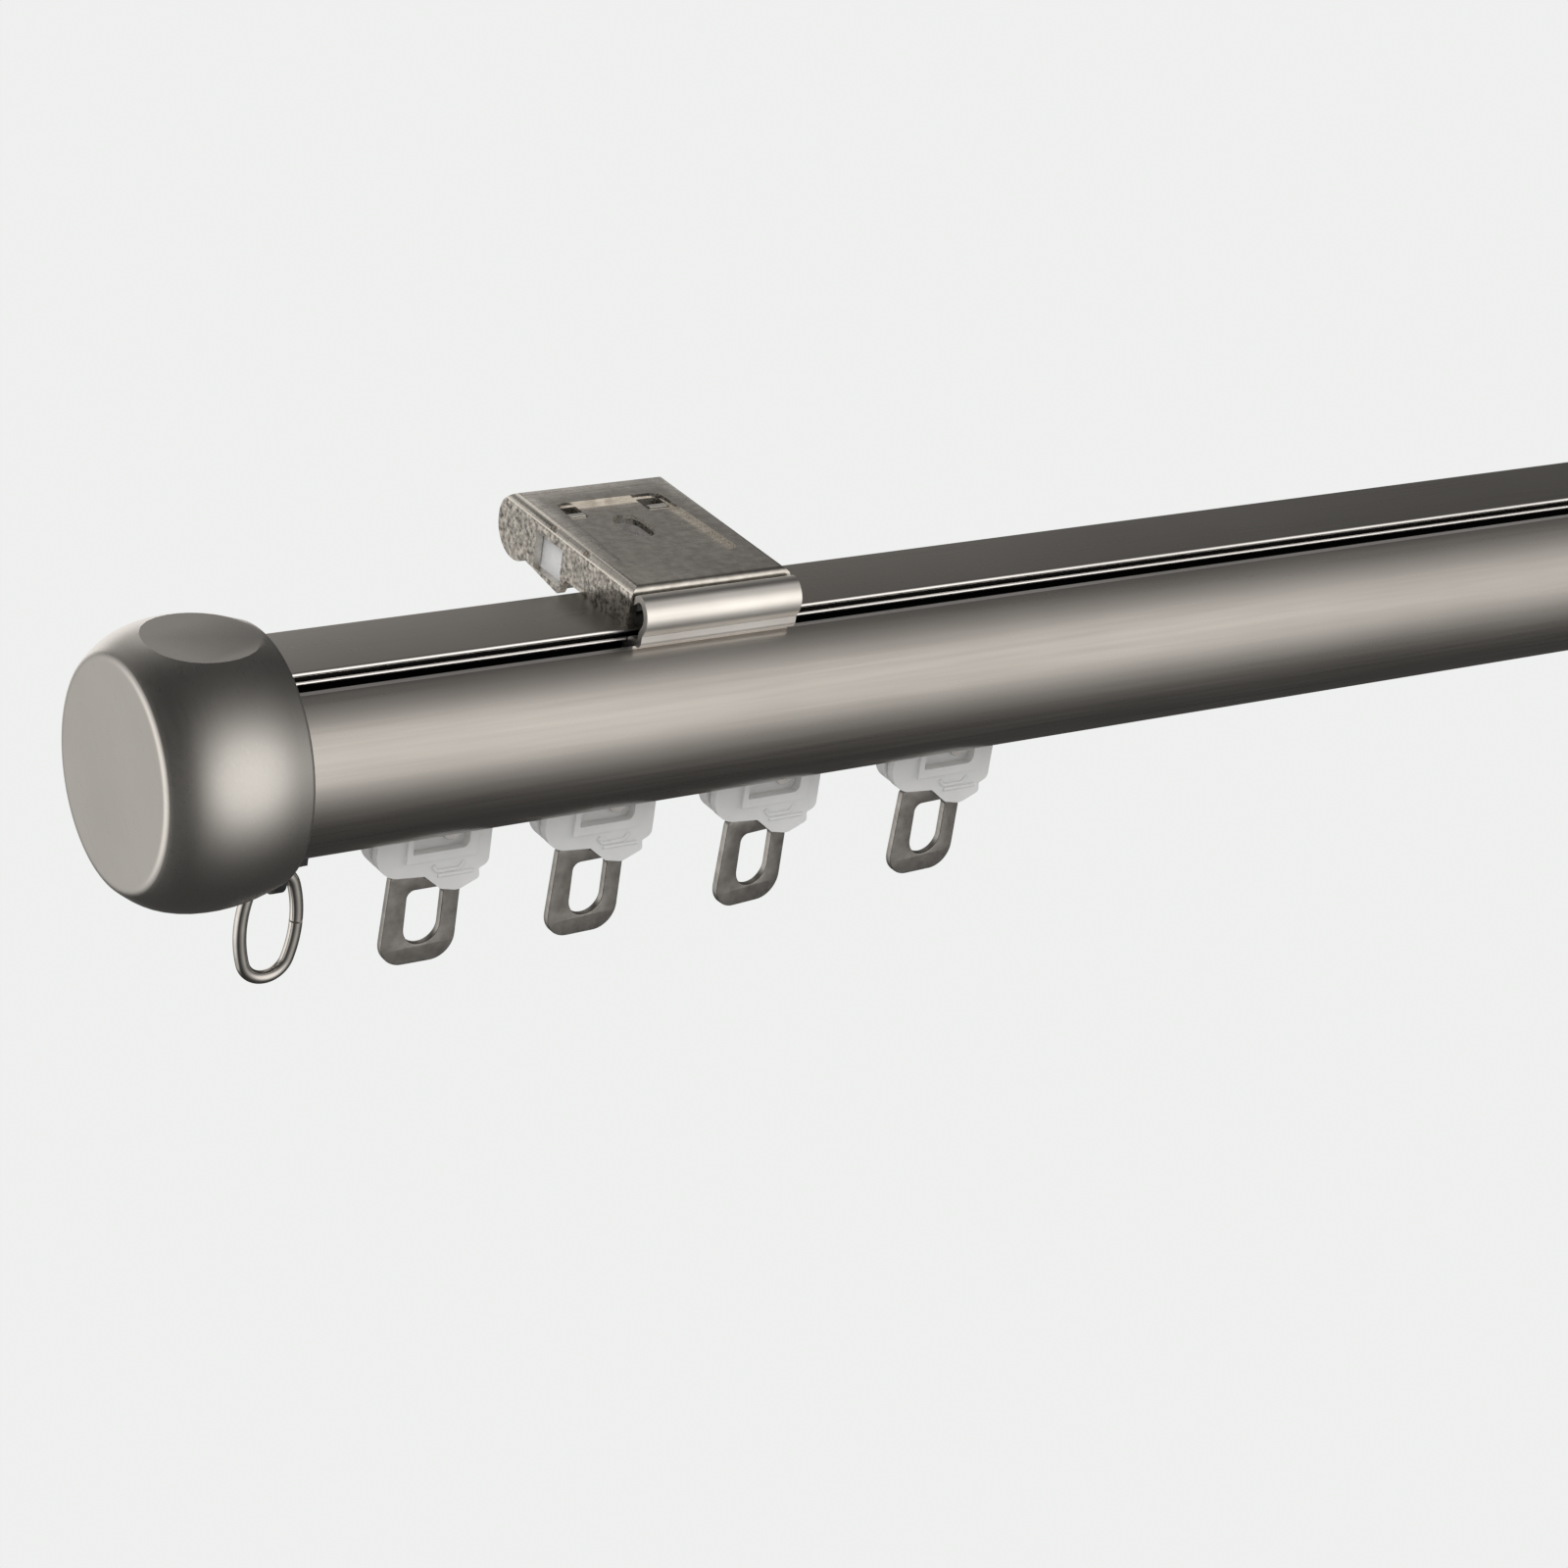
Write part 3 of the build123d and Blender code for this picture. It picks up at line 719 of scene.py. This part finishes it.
@dataclass
class Rail:
    """The extruded rail: a round tube with a slot beneath and a T-shaped head on top."""

    length: float = 600 * MM
    height: float = 24 * MM
    radius: float = 12.2 * MM
    wall: float = 1.2 * MM
    head_width: float = 10.3 * MM
    head_thickness: float = 1.72 * MM
    head_rounding: float = 0.3 * MM
    edge_groove: float = 0.15 * MM
    neck_width: float = 5.8 * MM
    claw_groove: Point2 = (1.5 * MM, 3.4 * MM)
    web: float = 1.2 * MM
    slot_width: float = 5 * MM
    runway: float = 2.8 * MM
    tube_steps: int = 72
    channel_steps: int = 36
    bead_steps: int = 12

    @property
    def centre(self) -> float:
        """The height of the tube's axis."""
        return self.radius - self.height

    def half_section(self) -> list[Point2]:
        """The right half of the section's outside, from the slot up to the head's middle."""
        head = self.head_width / 2
        rim = head + self.claw_groove[0]
        low = -math.degrees(math.acos(self.slot_width / 2 / self.radius))
        high = math.degrees(math.acos(rim / self.radius))
        neck = self.neck_width / 2
        r = self.head_rounding
        points = arc((0, self.centre), self.radius, low, high, self.tube_steps)
        points += [(rim, -self.claw_groove[1]), (neck, -self.claw_groove[1]), (neck, -self.head_thickness)]
        groove = head - r - self.edge_groove
        points += arc((head - r, -self.head_thickness + r), r, -90, 90, self.bead_steps)
        points += [(groove, -self.head_thickness + 2 * r), (groove, -2 * r)]
        points += arc((head - r, -r), r, -90, 90, self.bead_steps)
        return points

    def half_channel(self) -> list[Point2]:
        """The right half of the channel, from the web's middle down to the slot."""
        bore = self.radius - self.wall
        top = -self.claw_groove[1] - self.web
        floor = self.runway - self.height
        high = math.degrees(math.asin((top - self.centre) / bore))
        low = math.degrees(math.asin((floor - self.centre) / bore))
        side = arc((0, self.centre), bore, high, low, self.channel_steps)
        return side + [(self.slot_width / 2, floor)]

    def section(self) -> bpy.types.Mesh:
        """The whole section as one face, standing at the rail's left end."""
        outside = self.half_section()
        inside = self.half_channel()
        outline = outside + [(-y, z) for y, z in reversed(outside)]
        outline += [(-y, z) for y, z in reversed(inside)] + inside
        points = [Vector((-self.length / 2, y, z)) for y, z in outline]
        mesh = bpy.data.meshes.new("rail_section")
        mesh.from_pydata(points, [], [tuple(range(len(points)))])
        return mesh

    def build(self, shop: Shop) -> None:
        """Extrudes the section with Geometry Nodes and seats the rail."""
        tree = Tree("extrusion")
        length = tree.size("Length")
        shape = tree.start.outputs["Geometry"]
        pulled = tree.node("GeometryNodeExtrudeMesh", {"Mesh": shape, "Offset Scale": length},
                           {"Offset": (1, 0, 0), "Individual": False}, mode="FACES")
        base = tree.node("GeometryNodeFlipFaces", {0: shape})
        both = tree.join(pulled.outputs["Mesh"], base.outputs[0])
        welded = tree.node("GeometryNodeMergeByDistance", {"Geometry": both}, {"Distance": WELD})
        tree.close(welded.outputs[0], shop.finishes["rail_satin"])
        mesh = tree.run("rail_shell", self.section(), {"Length": self.length})
        with editing(mesh) as work:
            bmesh.ops.recalc_face_normals(work, faces=work.faces)
        thing = shop.piece("rail_shell", mesh, "rail_satin", Seat("track", "rail_aluminium", ("rail",)))
        soften(thing, 0, angle=28)


@dataclass
class EndCap:
    """A cast cap: a barrel with a bevelled face and a flat on its top."""

    side: Side
    rail: Rail
    end_wall: float = 2.5 * MM
    length: float = 16.7 * MM
    flat: float = 3.15 * MM
    clearance: float = 0.12 * MM
    overshoot: float = 5 * MM
    steps: int = 160
    bore_steps: int = 120
    barrel: tuple[Point2, ...] = (
        (0.0, 0.0), (0.0, 12.2), (0.0, 12.5), (0.04, 12.75), (0.13, 12.98), (0.27, 13.18), (0.36, 13.28),
        (0.75, 13.6), (1.3, 14.02), (1.9, 14.44), (2.6, 14.86), (3.3, 15.2), (4.3, 15.57), (5.5, 15.88),
        (6.8, 16.09), (8.2, 16.19), (9.5, 16.2), (10.8, 16.12), (12.1, 15.95), (13.4, 15.69), (14.7, 15.34),
        (15.6, 15.06), (16.2, 14.88), (16.45, 14.8), (16.62, 14.68), (16.7, 14.5), (16.7, 14.2), (16.7, 0.0),
    )

    def profile(self) -> list[Point2]:
        """(along, radius) from the outer face to the rim, in metres."""
        return [(along * MM, radius * MM) for along, radius in self.barrel]

    def bore(self, face: float) -> bpy.types.Object:
        """The hollow that takes the rail's end, as a cutter."""
        rail = self.rail
        head = rail.head_width / 2 + self.clearance
        radius = rail.radius + self.clearance
        edge = math.degrees(math.acos(head / radius))
        outline = arc((0, rail.centre), radius, edge, -180 - edge, self.bore_steps)
        outline += [(-head, self.clearance), (head, self.clearance)]
        start = face - self.side.value * self.end_wall
        stop = face - self.side.value * (self.length + self.overshoot)
        count = len(outline)
        points = [Vector((x, y, z)) for x in (start, stop) for y, z in outline]
        faces = [(i, (i + 1) % count, (i + 1) % count + count, i + count) for i in range(count)]
        faces += [tuple(range(count)), tuple(range(count, 2 * count))]
        return put("bore", mesh_of("bore", points, faces))

    def build(self, shop: Shop) -> None:
        """Turns the barrel, cuts its flat and its bore, and seats the cap."""
        sign = self.side.value
        face = sign * (self.rail.length / 2 + self.end_wall)
        turn = Matrix.Rotation(math.pi if sign > 0 else 0, 4, "Z")
        place = Matrix.Translation((face, 0, self.rail.centre)) @ turn
        mesh = lathe("cap", self.profile(), self.steps, place)
        with editing(mesh) as work:
            every = work.verts[:] + work.edges[:] + work.faces[:]
            cut = bmesh.ops.bisect_plane(work, geom=every, plane_co=(0, 0, self.flat), plane_no=(0, 0, 1),
                                         clear_outer=True)
            rim = [e for e in cut["geom_cut"] if isinstance(e, bmesh.types.BMEdge)]
            bmesh.ops.edgeloop_fill(work, edges=rim)
            bmesh.ops.recalc_face_normals(work, faces=work.faces)
        solid = put("cap", mesh)
        cutter = self.bore(face)
        hollow = solid.modifiers.new("bore", "BOOLEAN")
        hollow.operation = "DIFFERENCE"
        hollow.solver = "EXACT"
        hollow.object = cutter
        mesh = baked("cap_shell", solid)
        bpy.data.objects.remove(cutter)
        name = f"end_cap_{self.side.word}"
        thing = shop.piece(f"{name}_shell", mesh, "cap_satin", Seat("track", "cap_metal", (name,)))
        soften(thing, 0, angle=20)


@dataclass
class EndRing:
    """The oval of bent wire that hangs in the end stop's lug."""

    side: Side
    wire: float = 0.775 * MM
    half_width: float = 3.475 * MM
    half_height: float = 6.7 * MM
    end_radius: float = 2.9 * MM
    hang: float = -26.95 * MM
    place: float = 281.9 * MM
    gap: float = 0.25 * MM
    bend_steps: int = 12
    wire_sides: int = 28

    def line(self) -> list[Point2]:
        """The wire's centre line, from one of its ends round to the other."""
        rise = self.half_height - self.end_radius
        spread = self.half_width - self.end_radius
        large = (rise**2 + spread**2) / (2 * spread) + self.end_radius
        centre = self.half_width - large
        corner = math.degrees(math.atan2(rise, -centre))
        start = math.degrees(math.asin(self.gap / 2 / large))
        side_up = arc((centre, 0), large, start, corner, self.bend_steps)
        top = arc((0, rise), self.end_radius, corner, 90, self.bend_steps)
        top_left = [(-x, z) for x, z in reversed(top)]
        left_up = arc((centre, 0), large, 0, corner, self.bend_steps)
        left = [(-x, z) for x, z in reversed(left_up)]
        upper = side_up + top[1:] + top_left[1:] + left[1:]
        lower = [(x, -z) for x, z in reversed(upper)]
        return upper + lower[1:]

    def build(self, shop: Shop) -> None:
        """Bends the wire with Geometry Nodes and seats the ring."""
        middle = self.hang - self.half_height
        line = [(self.side.value * (self.place - x), 0, middle + z) for x, z in self.line()]
        curve = polylines("wire", [line])
        tree = Tree("bent_wire")
        radius = tree.size("Wire Radius")
        circle = tree.node("GeometryNodeCurvePrimitiveCircle", {"Radius": radius},
                           {"Resolution": self.wire_sides})
        wire = tree.node("GeometryNodeCurveToMesh",
                         {"Curve": tree.start.outputs["Geometry"], "Profile Curve": circle.outputs[0]},
                         {"Fill Caps": True})
        tree.close(wire.outputs[0], shop.finishes["ring_bright"])
        name = f"end_ring_{self.side.word}"
        mesh = tree.run(f"{name}_wire", curve, {"Wire Radius": self.wire})
        seat = Seat(f"ring_{self.side.word}", "ring_chrome", (name,))
        thing = shop.piece(f"{name}_wire", mesh, "ring_bright", seat)
        soften(thing, 0, angle=50)


@dataclass
class Bracket:
    """A ceiling bracket: its body, its hook plate, its latch and the latch's spring."""

    side: Side
    middle: float = 230.5 * MM
    narrowing: float = 0.872
    spring_foot: float = 22.5 * MM
    spring_kept: float = 0.82

    def narrow(self, mesh: bpy.types.Mesh) -> None:
        """Draws in the part to the left of the middle, as the photograph shows it."""
        middle = self.side.value * self.middle
        for point in mesh.vertices:
            if point.co.x < middle:
                point.co.x = middle + (point.co.x - middle) * self.narrowing

    def build(self, shop: Shop) -> None:
        """Dresses the bracket's four pieces."""
        word = self.side.word
        parts = (
            ("bracket_body", "bracket_nickel", "track", "bracket_steel", 0.22),
            ("bracket_hook", "hook_nickel", "track", "hook_steel", 0.12),
            ("bracket_latch", "latch_white", f"latch_{word}", "latch_plastic", 0.15),
            ("latch_spring", "plain_steel", "track", "spring_steel", 0.04),
        )
        for kind, finish, body, slot, width in parts:
            node = f"{kind}_{word}"
            seat = Seat(body, slot, (node,))
            thing = shop.copy_of(node, f"{node}_shell", finish, seat, width * MM)
            self.narrow(thing.data)
            if kind == "latch_spring":
                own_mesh(thing)


@dataclass
class Runner:
    """A wheeled runner: two plastic halves, a rivet, two axles with their wheels, and a swivelling eye."""

    number: int
    place: float
    turn: float
    axle_spread: float = 8.4 * MM
    axle_height: float = -17.75 * MM
    wheel_radius: float = 3.4 * MM
    wheel_width: float = 2.5 * MM
    wheel_inner: float = 2.2 * MM
    hub: float = 0.82 * MM
    wheel_edge: float = 0.35 * MM
    wheel_corner: float = 0.1 * MM
    dish_rim: Point2 = (0.7 * MM, 0.8 * MM)
    dish_hub: Point2 = (1.55 * MM, 1.5 * MM)
    dish_depth: float = 0.5 * MM
    wheel_steps: int = 48
    eye_setback: float = 0.35 * MM
    eye_thickness: float = 0.9 * MM
    eye_edge: float = 0.1 * MM
    eye_middle: float = 0.2 * MM
    eye_steps: int = 12
    eye_corners: tuple[Point2, ...] = ((-4.55, -30.3), (-5.05, -42.1), (4.75, -42.1), (4.75, -30.3))
    eye_radii: tuple[float, ...] = (0.6, 3.0, 3.0, 0.6)
    hole_corners: tuple[Point2, ...] = ((-2.15, -32.5), (-2.15, -39.7), (2.55, -39.7), (2.55, -32.5))
    hole_radii: tuple[float, ...] = (1.0, 2.33, 2.33, 1.0)
    stem: tuple[Point2, ...] = ((-31.1, 0.65), (-27.9, 0.65), (-27.9, 1.1), (-27.1, 1.1))
    stem_steps: int = 32
    rib_face: float = -1.32 * MM
    rib_radius: float = 0.26 * MM
    rib_bend: float = 0.6 * MM
    rib_sides: int = 12
    rib_steps: int = 6
    ribs: tuple[tuple[Point2, ...], ...] = (
        ((-2.7, -27.7), (4.7, -27.7)),
        ((0.0, -28.9), (0.6, -29.7), (3.5, -29.7), (4.1, -28.9)),
        ((0.8, -30.3), (5.4, -30.3)),
    )

    def wheel_profile(self) -> list[Point2]:
        """(along, radius) of one wheel, with a dished outer face."""
        inner = self.wheel_inner
        outer = inner + self.wheel_width
        floor = outer - self.dish_depth
        r = self.wheel_radius
        edge = self.wheel_edge
        corner = self.wheel_corner
        return [
            (inner, self.hub), (inner, r - edge), (inner + corner, r - corner), (inner + edge, r),
            (outer - edge, r), (outer - corner, r - corner), (outer, r - edge),
            (outer, r - self.dish_rim[0]), (floor, r - self.dish_rim[1]), (floor, self.dish_hub[0]),
            (outer, self.dish_hub[1]), (outer, self.hub),
        ]

    def build_wheels(self, shop: Shop) -> None:
        """Makes each axle's two wheels from one turned wheel with Geometry Nodes."""
        tree = Tree("wheel_pair")
        half_turn = tree.size("Half Turn")
        centre = tree.size("Axle", "NodeSocketVector")
        shape = tree.start.outputs["Geometry"]
        angle = tree.node("ShaderNodeCombineXYZ", {"Z": half_turn})
        other = tree.node("GeometryNodeTransform", {"Geometry": shape, "Rotation": angle.outputs[0]})
        both = tree.join(shape, other.outputs[0])
        moved = tree.node("GeometryNodeTransform", {"Geometry": both, "Translation": centre})
        tree.close(moved.outputs[0], shop.finishes["wheel_nylon"])
        upright = Matrix.Rotation(math.pi / 2, 4, "Z")
        for side in Side:
            x = self.place + side.value * self.axle_spread / 2
            wheel = lathe("wheel", self.wheel_profile(), self.wheel_steps, upright)
            name = f"runner_{self.number}_wheels_{side.word}"
            sizes = {"Half Turn": math.pi, "Axle": (x, 0, self.axle_height)}
            mesh = tree.run(name, wheel, sizes)
            base = f"runner_{self.number}_wheel_{side.word}"
            nodes = (f"{base}_front", f"{base}_back")
            body = f"wheels_{self.number}_{side.word}"
            thing = shop.piece(name, mesh, "wheel_nylon", Seat(body, "wheel_plastic", nodes))
            soften(thing, 0, angle=32)
            axle = f"runner_{self.number}_axle_{side.word}"
            shop.copy_of(axle, f"{axle}_pin", "plain_steel", Seat(body, "axle_steel", (axle,)), 0.05 * MM)

    def build_eye(self, shop: Shop) -> None:
        """Punches the eye's plate from an outline with a hole, and adds its stem and head."""
        outlines = [
            [(x * MM - self.eye_middle, z * MM, 0) for x, z in rounded(corners, radii, self.eye_steps)]
            for corners, radii in ((self.eye_corners, self.eye_radii), (self.hole_corners, self.hole_radii))]
        curve = polylines("eye", outlines, closed=True)
        curve.dimensions = "2D"
        curve.fill_mode = "BOTH"
        curve.extrude = self.eye_thickness / 2 - self.eye_edge
        curve.bevel_depth = self.eye_edge
        curve.bevel_resolution = 2
        curve.offset = -self.eye_edge
        mesh = baked("eye", put("eye", curve))
        mesh.transform(Matrix.Rotation(math.pi / 2, 4, "X"))
        profile = [(height * MM, radius * MM) for height, radius in self.stem]
        stem = lathe("stem", profile, self.stem_steps, Matrix.Rotation(-math.pi / 2, 4, "Y"))
        turn = Matrix.Rotation(math.radians(self.turn), 4, "Z")
        pivot = Matrix.Translation((self.place + self.eye_middle, self.eye_setback, 0))
        with editing(mesh) as work:
            work.from_mesh(stem)
            bmesh.ops.transform(work, matrix=pivot @ turn, verts=work.verts)
            bmesh.ops.remove_doubles(work, verts=work.verts, dist=FINE_WELD)
            bmesh.ops.recalc_face_normals(work, faces=work.faces)
        node = f"runner_{self.number}_eye"
        seat = Seat(f"eye_{self.number}", "eye_metal", (node,))
        thing = shop.piece(f"{node}_plate", mesh, "eye_dull", seat)
        soften(thing, 0, angle=40)

    def build_halves(self, shop: Shop) -> None:
        """Dresses the runner's two plastic halves and its rivet."""
        body = f"runner_{self.number}"
        for kind, finish, slot, width in (("carrier", "runner_milky", "runner_plastic", 0.12),
                                          ("skirt", "runner_milky", "runner_plastic", 0.12),
                                          ("rivet", "plain_steel", "rivet_metal", 0.05)):
            node = f"runner_{self.number}_{kind}"
            shop.copy_of(node, f"{node}_shell", finish, Seat(body, slot, (node,)), width * MM)

    def build_ribs(self, shop: Shop) -> None:
        """Raises the low lines on the skirt's face with Geometry Nodes."""
        lines = [[(self.place + x * MM, self.rib_face, z * MM) for x, z in line] for line in self.ribs]
        curve = polylines("ribs", lines)
        tree = Tree("ribs")
        radius = tree.size("Radius")
        section = tree.node("GeometryNodeCurvePrimitiveCircle", {"Radius": radius},
                            {"Resolution": self.rib_sides})
        bent = tree.node("GeometryNodeFilletCurve", {"Curve": tree.start.outputs["Geometry"]},
                         {"Radius": self.rib_bend, "Count": self.rib_steps}, mode="POLY")
        curves = {"Curve": bent.outputs[0], "Profile Curve": section.outputs[0]}
        raised = tree.node("GeometryNodeCurveToMesh", curves, {"Fill Caps": True})
        tree.close(raised.outputs[0], shop.finishes["runner_milky"])
        name = f"runner_{self.number}_ribs"
        mesh = tree.run(name, curve, {"Radius": self.rib_radius})
        thing = shop.piece(name, mesh, "runner_milky", Seat(f"runner_{self.number}", "runner_plastic"))
        soften(thing, 0)

    def build(self, shop: Shop) -> None:
        """Builds the whole runner."""
        self.build_halves(shop)
        self.build_ribs(shop)
        self.build_wheels(shop)
        self.build_eye(shop)


@dataclass(frozen=True)
class Softbox:
    """A soft pale area far off in the studio, which metal reflects.

    The falloff gives the area's brightness at rising cosines of the angle from its middle.
    """

    towards: Point3
    falloff: tuple[Point2, ...]


@dataclass(frozen=True)
class Lamp:
    """A square soft lamp, which lights the plastic and isn't mirrored in the metal.

    Its size is its side in metres, and its power is in watts.
    """

    name: str
    place: Point3
    target: Point3
    size: float
    power: float

    def build(self) -> None:
        """Sets the lamp up."""
        data = bpy.data.lights.new(self.name, "AREA")
        data.size = self.size
        data.energy = self.power
        lamp = put(self.name, data)
        place = Vector(self.place)
        lamp.location = place
        lamp.rotation_euler = (Vector(self.target) - place).to_track_quat("-Z", "Y").to_euler()
        lamp.visible_camera = False
        lamp.visible_glossy = False


@dataclass
class Studio:
    """The camera, the pale world with its soft areas, and the lamps."""

    eye: Point3 = (-0.485523, -0.360496, 0.191183)
    yaw: float = -0.646098
    pitch: float = 0.449475
    roll: float = 0.152255
    lens: float = 96.29
    sensor: float = 36.0
    clip: Point2 = (0.01, 60.0)
    pale: Colour = (0.86, 0.87, 0.86)
    warmth: Colour = (1.0, 0.965, 0.925)
    plain_light: float = 0.5
    dim: float = 0.01
    front: Softbox = Softbox((0.37, -0.91, 0.18), (
        (0.0, 0.01), (0.135, 0.02), (0.39, 0.05), (0.562, 0.14), (0.715, 0.31), (0.798, 0.52), (0.881, 0.88),
        (0.94, 1.18), (1.0, 1.3)))
    left: Softbox = Softbox((-0.85, 0.35, -0.25), (
        (0.5, 0.0), (0.6, 0.06), (0.69, 0.18), (0.74, 0.5), (0.77, 0.6), (0.83, 0.61), (0.9, 1.15),
        (1.0, 1.4)))
    above: Softbox = Softbox((0.1, 0.88, 0.48), (
        (0.66, 0.03), (0.8, 0.09), (0.85, 0.14), (0.9, 0.19), (0.936, 0.27), (0.95, 0.38), (0.975, 0.5),
        (1.0, 0.6)))
    back: Softbox = Softbox((0.2, 0.95, -0.2), (
        (0.8, 0.0), (0.87, 0.08), (0.93, 0.6), (0.97, 1.1), (1.0, 1.2)))
    key: Lamp = Lamp("key", (-1.3, -0.9, 1.2), (-0.1, 0, 0), 1.2, 18)
    fill: Lamp = Lamp("fill", (1.2, -0.9, 0.8), (0, 0, 0), 1.0, 6)

    def camera(self) -> None:
        """Sets the camera where the photograph was taken from."""
        data = bpy.data.cameras.new("camera")
        data.lens = self.lens
        data.sensor_width = self.sensor
        data.clip_start, data.clip_end = self.clip
        right = Vector((math.cos(self.yaw), math.sin(self.yaw), 0))
        ahead = Vector((-math.sin(self.yaw), math.cos(self.yaw), 0))
        over = Vector((0, 0, 1))
        forward = math.cos(self.pitch) * ahead - math.sin(self.pitch) * over
        upward = math.cos(self.pitch) * over + math.sin(self.pitch) * ahead
        x = math.cos(self.roll) * right + math.sin(self.roll) * upward
        y = -math.sin(self.roll) * right + math.cos(self.roll) * upward
        camera = put("camera", data)
        turn = Matrix((x, y, -forward)).transposed().to_4x4()
        camera.matrix_world = Matrix.Translation(self.eye) @ turn
        bpy.context.scene.camera = camera

    def glow(self, tree: bpy.types.NodeTree, box: Softbox) -> Socket:
        """The brightness of one soft area in each direction."""
        place = tree.nodes.new("ShaderNodeTexCoord")
        nearness = tree.nodes.new("ShaderNodeVectorMath")
        nearness.operation = "DOT_PRODUCT"
        nearness.inputs[1].default_value = Vector(box.towards).normalized()
        tree.links.new(place.outputs["Generated"], nearness.inputs[0])
        ramp = tree.nodes.new("ShaderNodeValToRGB")
        ramp.color_ramp.interpolation = "EASE"
        stops = ramp.color_ramp.elements
        while len(stops) < len(box.falloff):
            stops.new(0.5)
        for stop, (position, value) in zip(stops, box.falloff):
            stop.position = position
            stop.color = (value, value, value, 1)
        tree.links.new(nearness.outputs["Value"], ramp.inputs["Fac"])
        return ramp.outputs["Color"]

    def background(self, tree: bpy.types.NodeTree, colour: Colour, strength: float) -> bpy.types.Node:
        """A background shader of one colour."""
        made = tree.nodes.new("ShaderNodeBackground")
        made.inputs["Color"].default_value = (*colour, 1)
        made.inputs["Strength"].default_value = strength
        return made

    def mixed(self, tree: bpy.types.NodeTree, factor: Socket, *shaders: bpy.types.Node) -> bpy.types.Node:
        """A shader that turns from the first to the second of two as the factor goes from 0 to 1."""
        made = tree.nodes.new("ShaderNodeMixShader")
        for socket, value in zip(made.inputs, (factor, *(shader.outputs[0] for shader in shaders))):
            tree.links.new(value, socket)
        return made

    def world(self) -> None:
        """The world: pale to the camera and through glass, soft areas to metal, plain light to the rest."""
        world = bpy.data.worlds.new("studio")
        world.use_nodes = True
        tree = world.node_tree
        tree.nodes.clear()
        path = tree.nodes.new("ShaderNodeLightPath")
        seen = maths(tree, "MAXIMUM", path.outputs["Is Camera Ray"], path.outputs["Is Transmission Ray"])
        plain = self.background(tree, (1, 1, 1), self.plain_light)
        pale = self.background(tree, self.pale, 1.0)
        soft = self.background(tree, self.warmth, 1.0)
        total = self.dim
        for box in (self.front, self.left, self.above, self.back):
            total = maths(tree, "ADD", self.glow(tree, box), total)
        tree.links.new(total, soft.inputs["Strength"])
        metal = self.mixed(tree, path.outputs["Is Glossy Ray"], plain, soft)
        whole = self.mixed(tree, seen, metal, pale)
        out = tree.nodes.new("ShaderNodeOutputWorld")
        tree.links.new(whole.outputs[0], out.inputs["Surface"])
        bpy.context.scene.world = world

    def build(self) -> None:
        """Sets up the whole studio."""
        self.camera()
        self.world()
        self.key.build()
        self.fill.build()
        bpy.context.scene.view_settings.view_transform = "Standard"


def main() -> None:
    """Builds every piece of the track in order."""
    logging.basicConfig(level=logging.INFO, format="%(message)s")
    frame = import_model()
    shop = Shop(frame)
    rail = Rail()
    rail.build(shop)
    for side in Side:
        EndCap(side, rail).build(shop)
        EndRing(side).build(shop)
        Bracket(side).build(shop)
        node = f"end_stop_{side.word}"
        shop.copy_of(node, f"{node}_shell", "stop_dark", Seat("track", "stop_plastic", (node,)), 0.15 * MM)
    for number, (place, turn) in enumerate(RUNNERS, start=1):
        Runner(number, (place - HALF_TRACK) * MM, turn).build(shop)
    Studio().build()


if __name__ == "__main__":
    main()
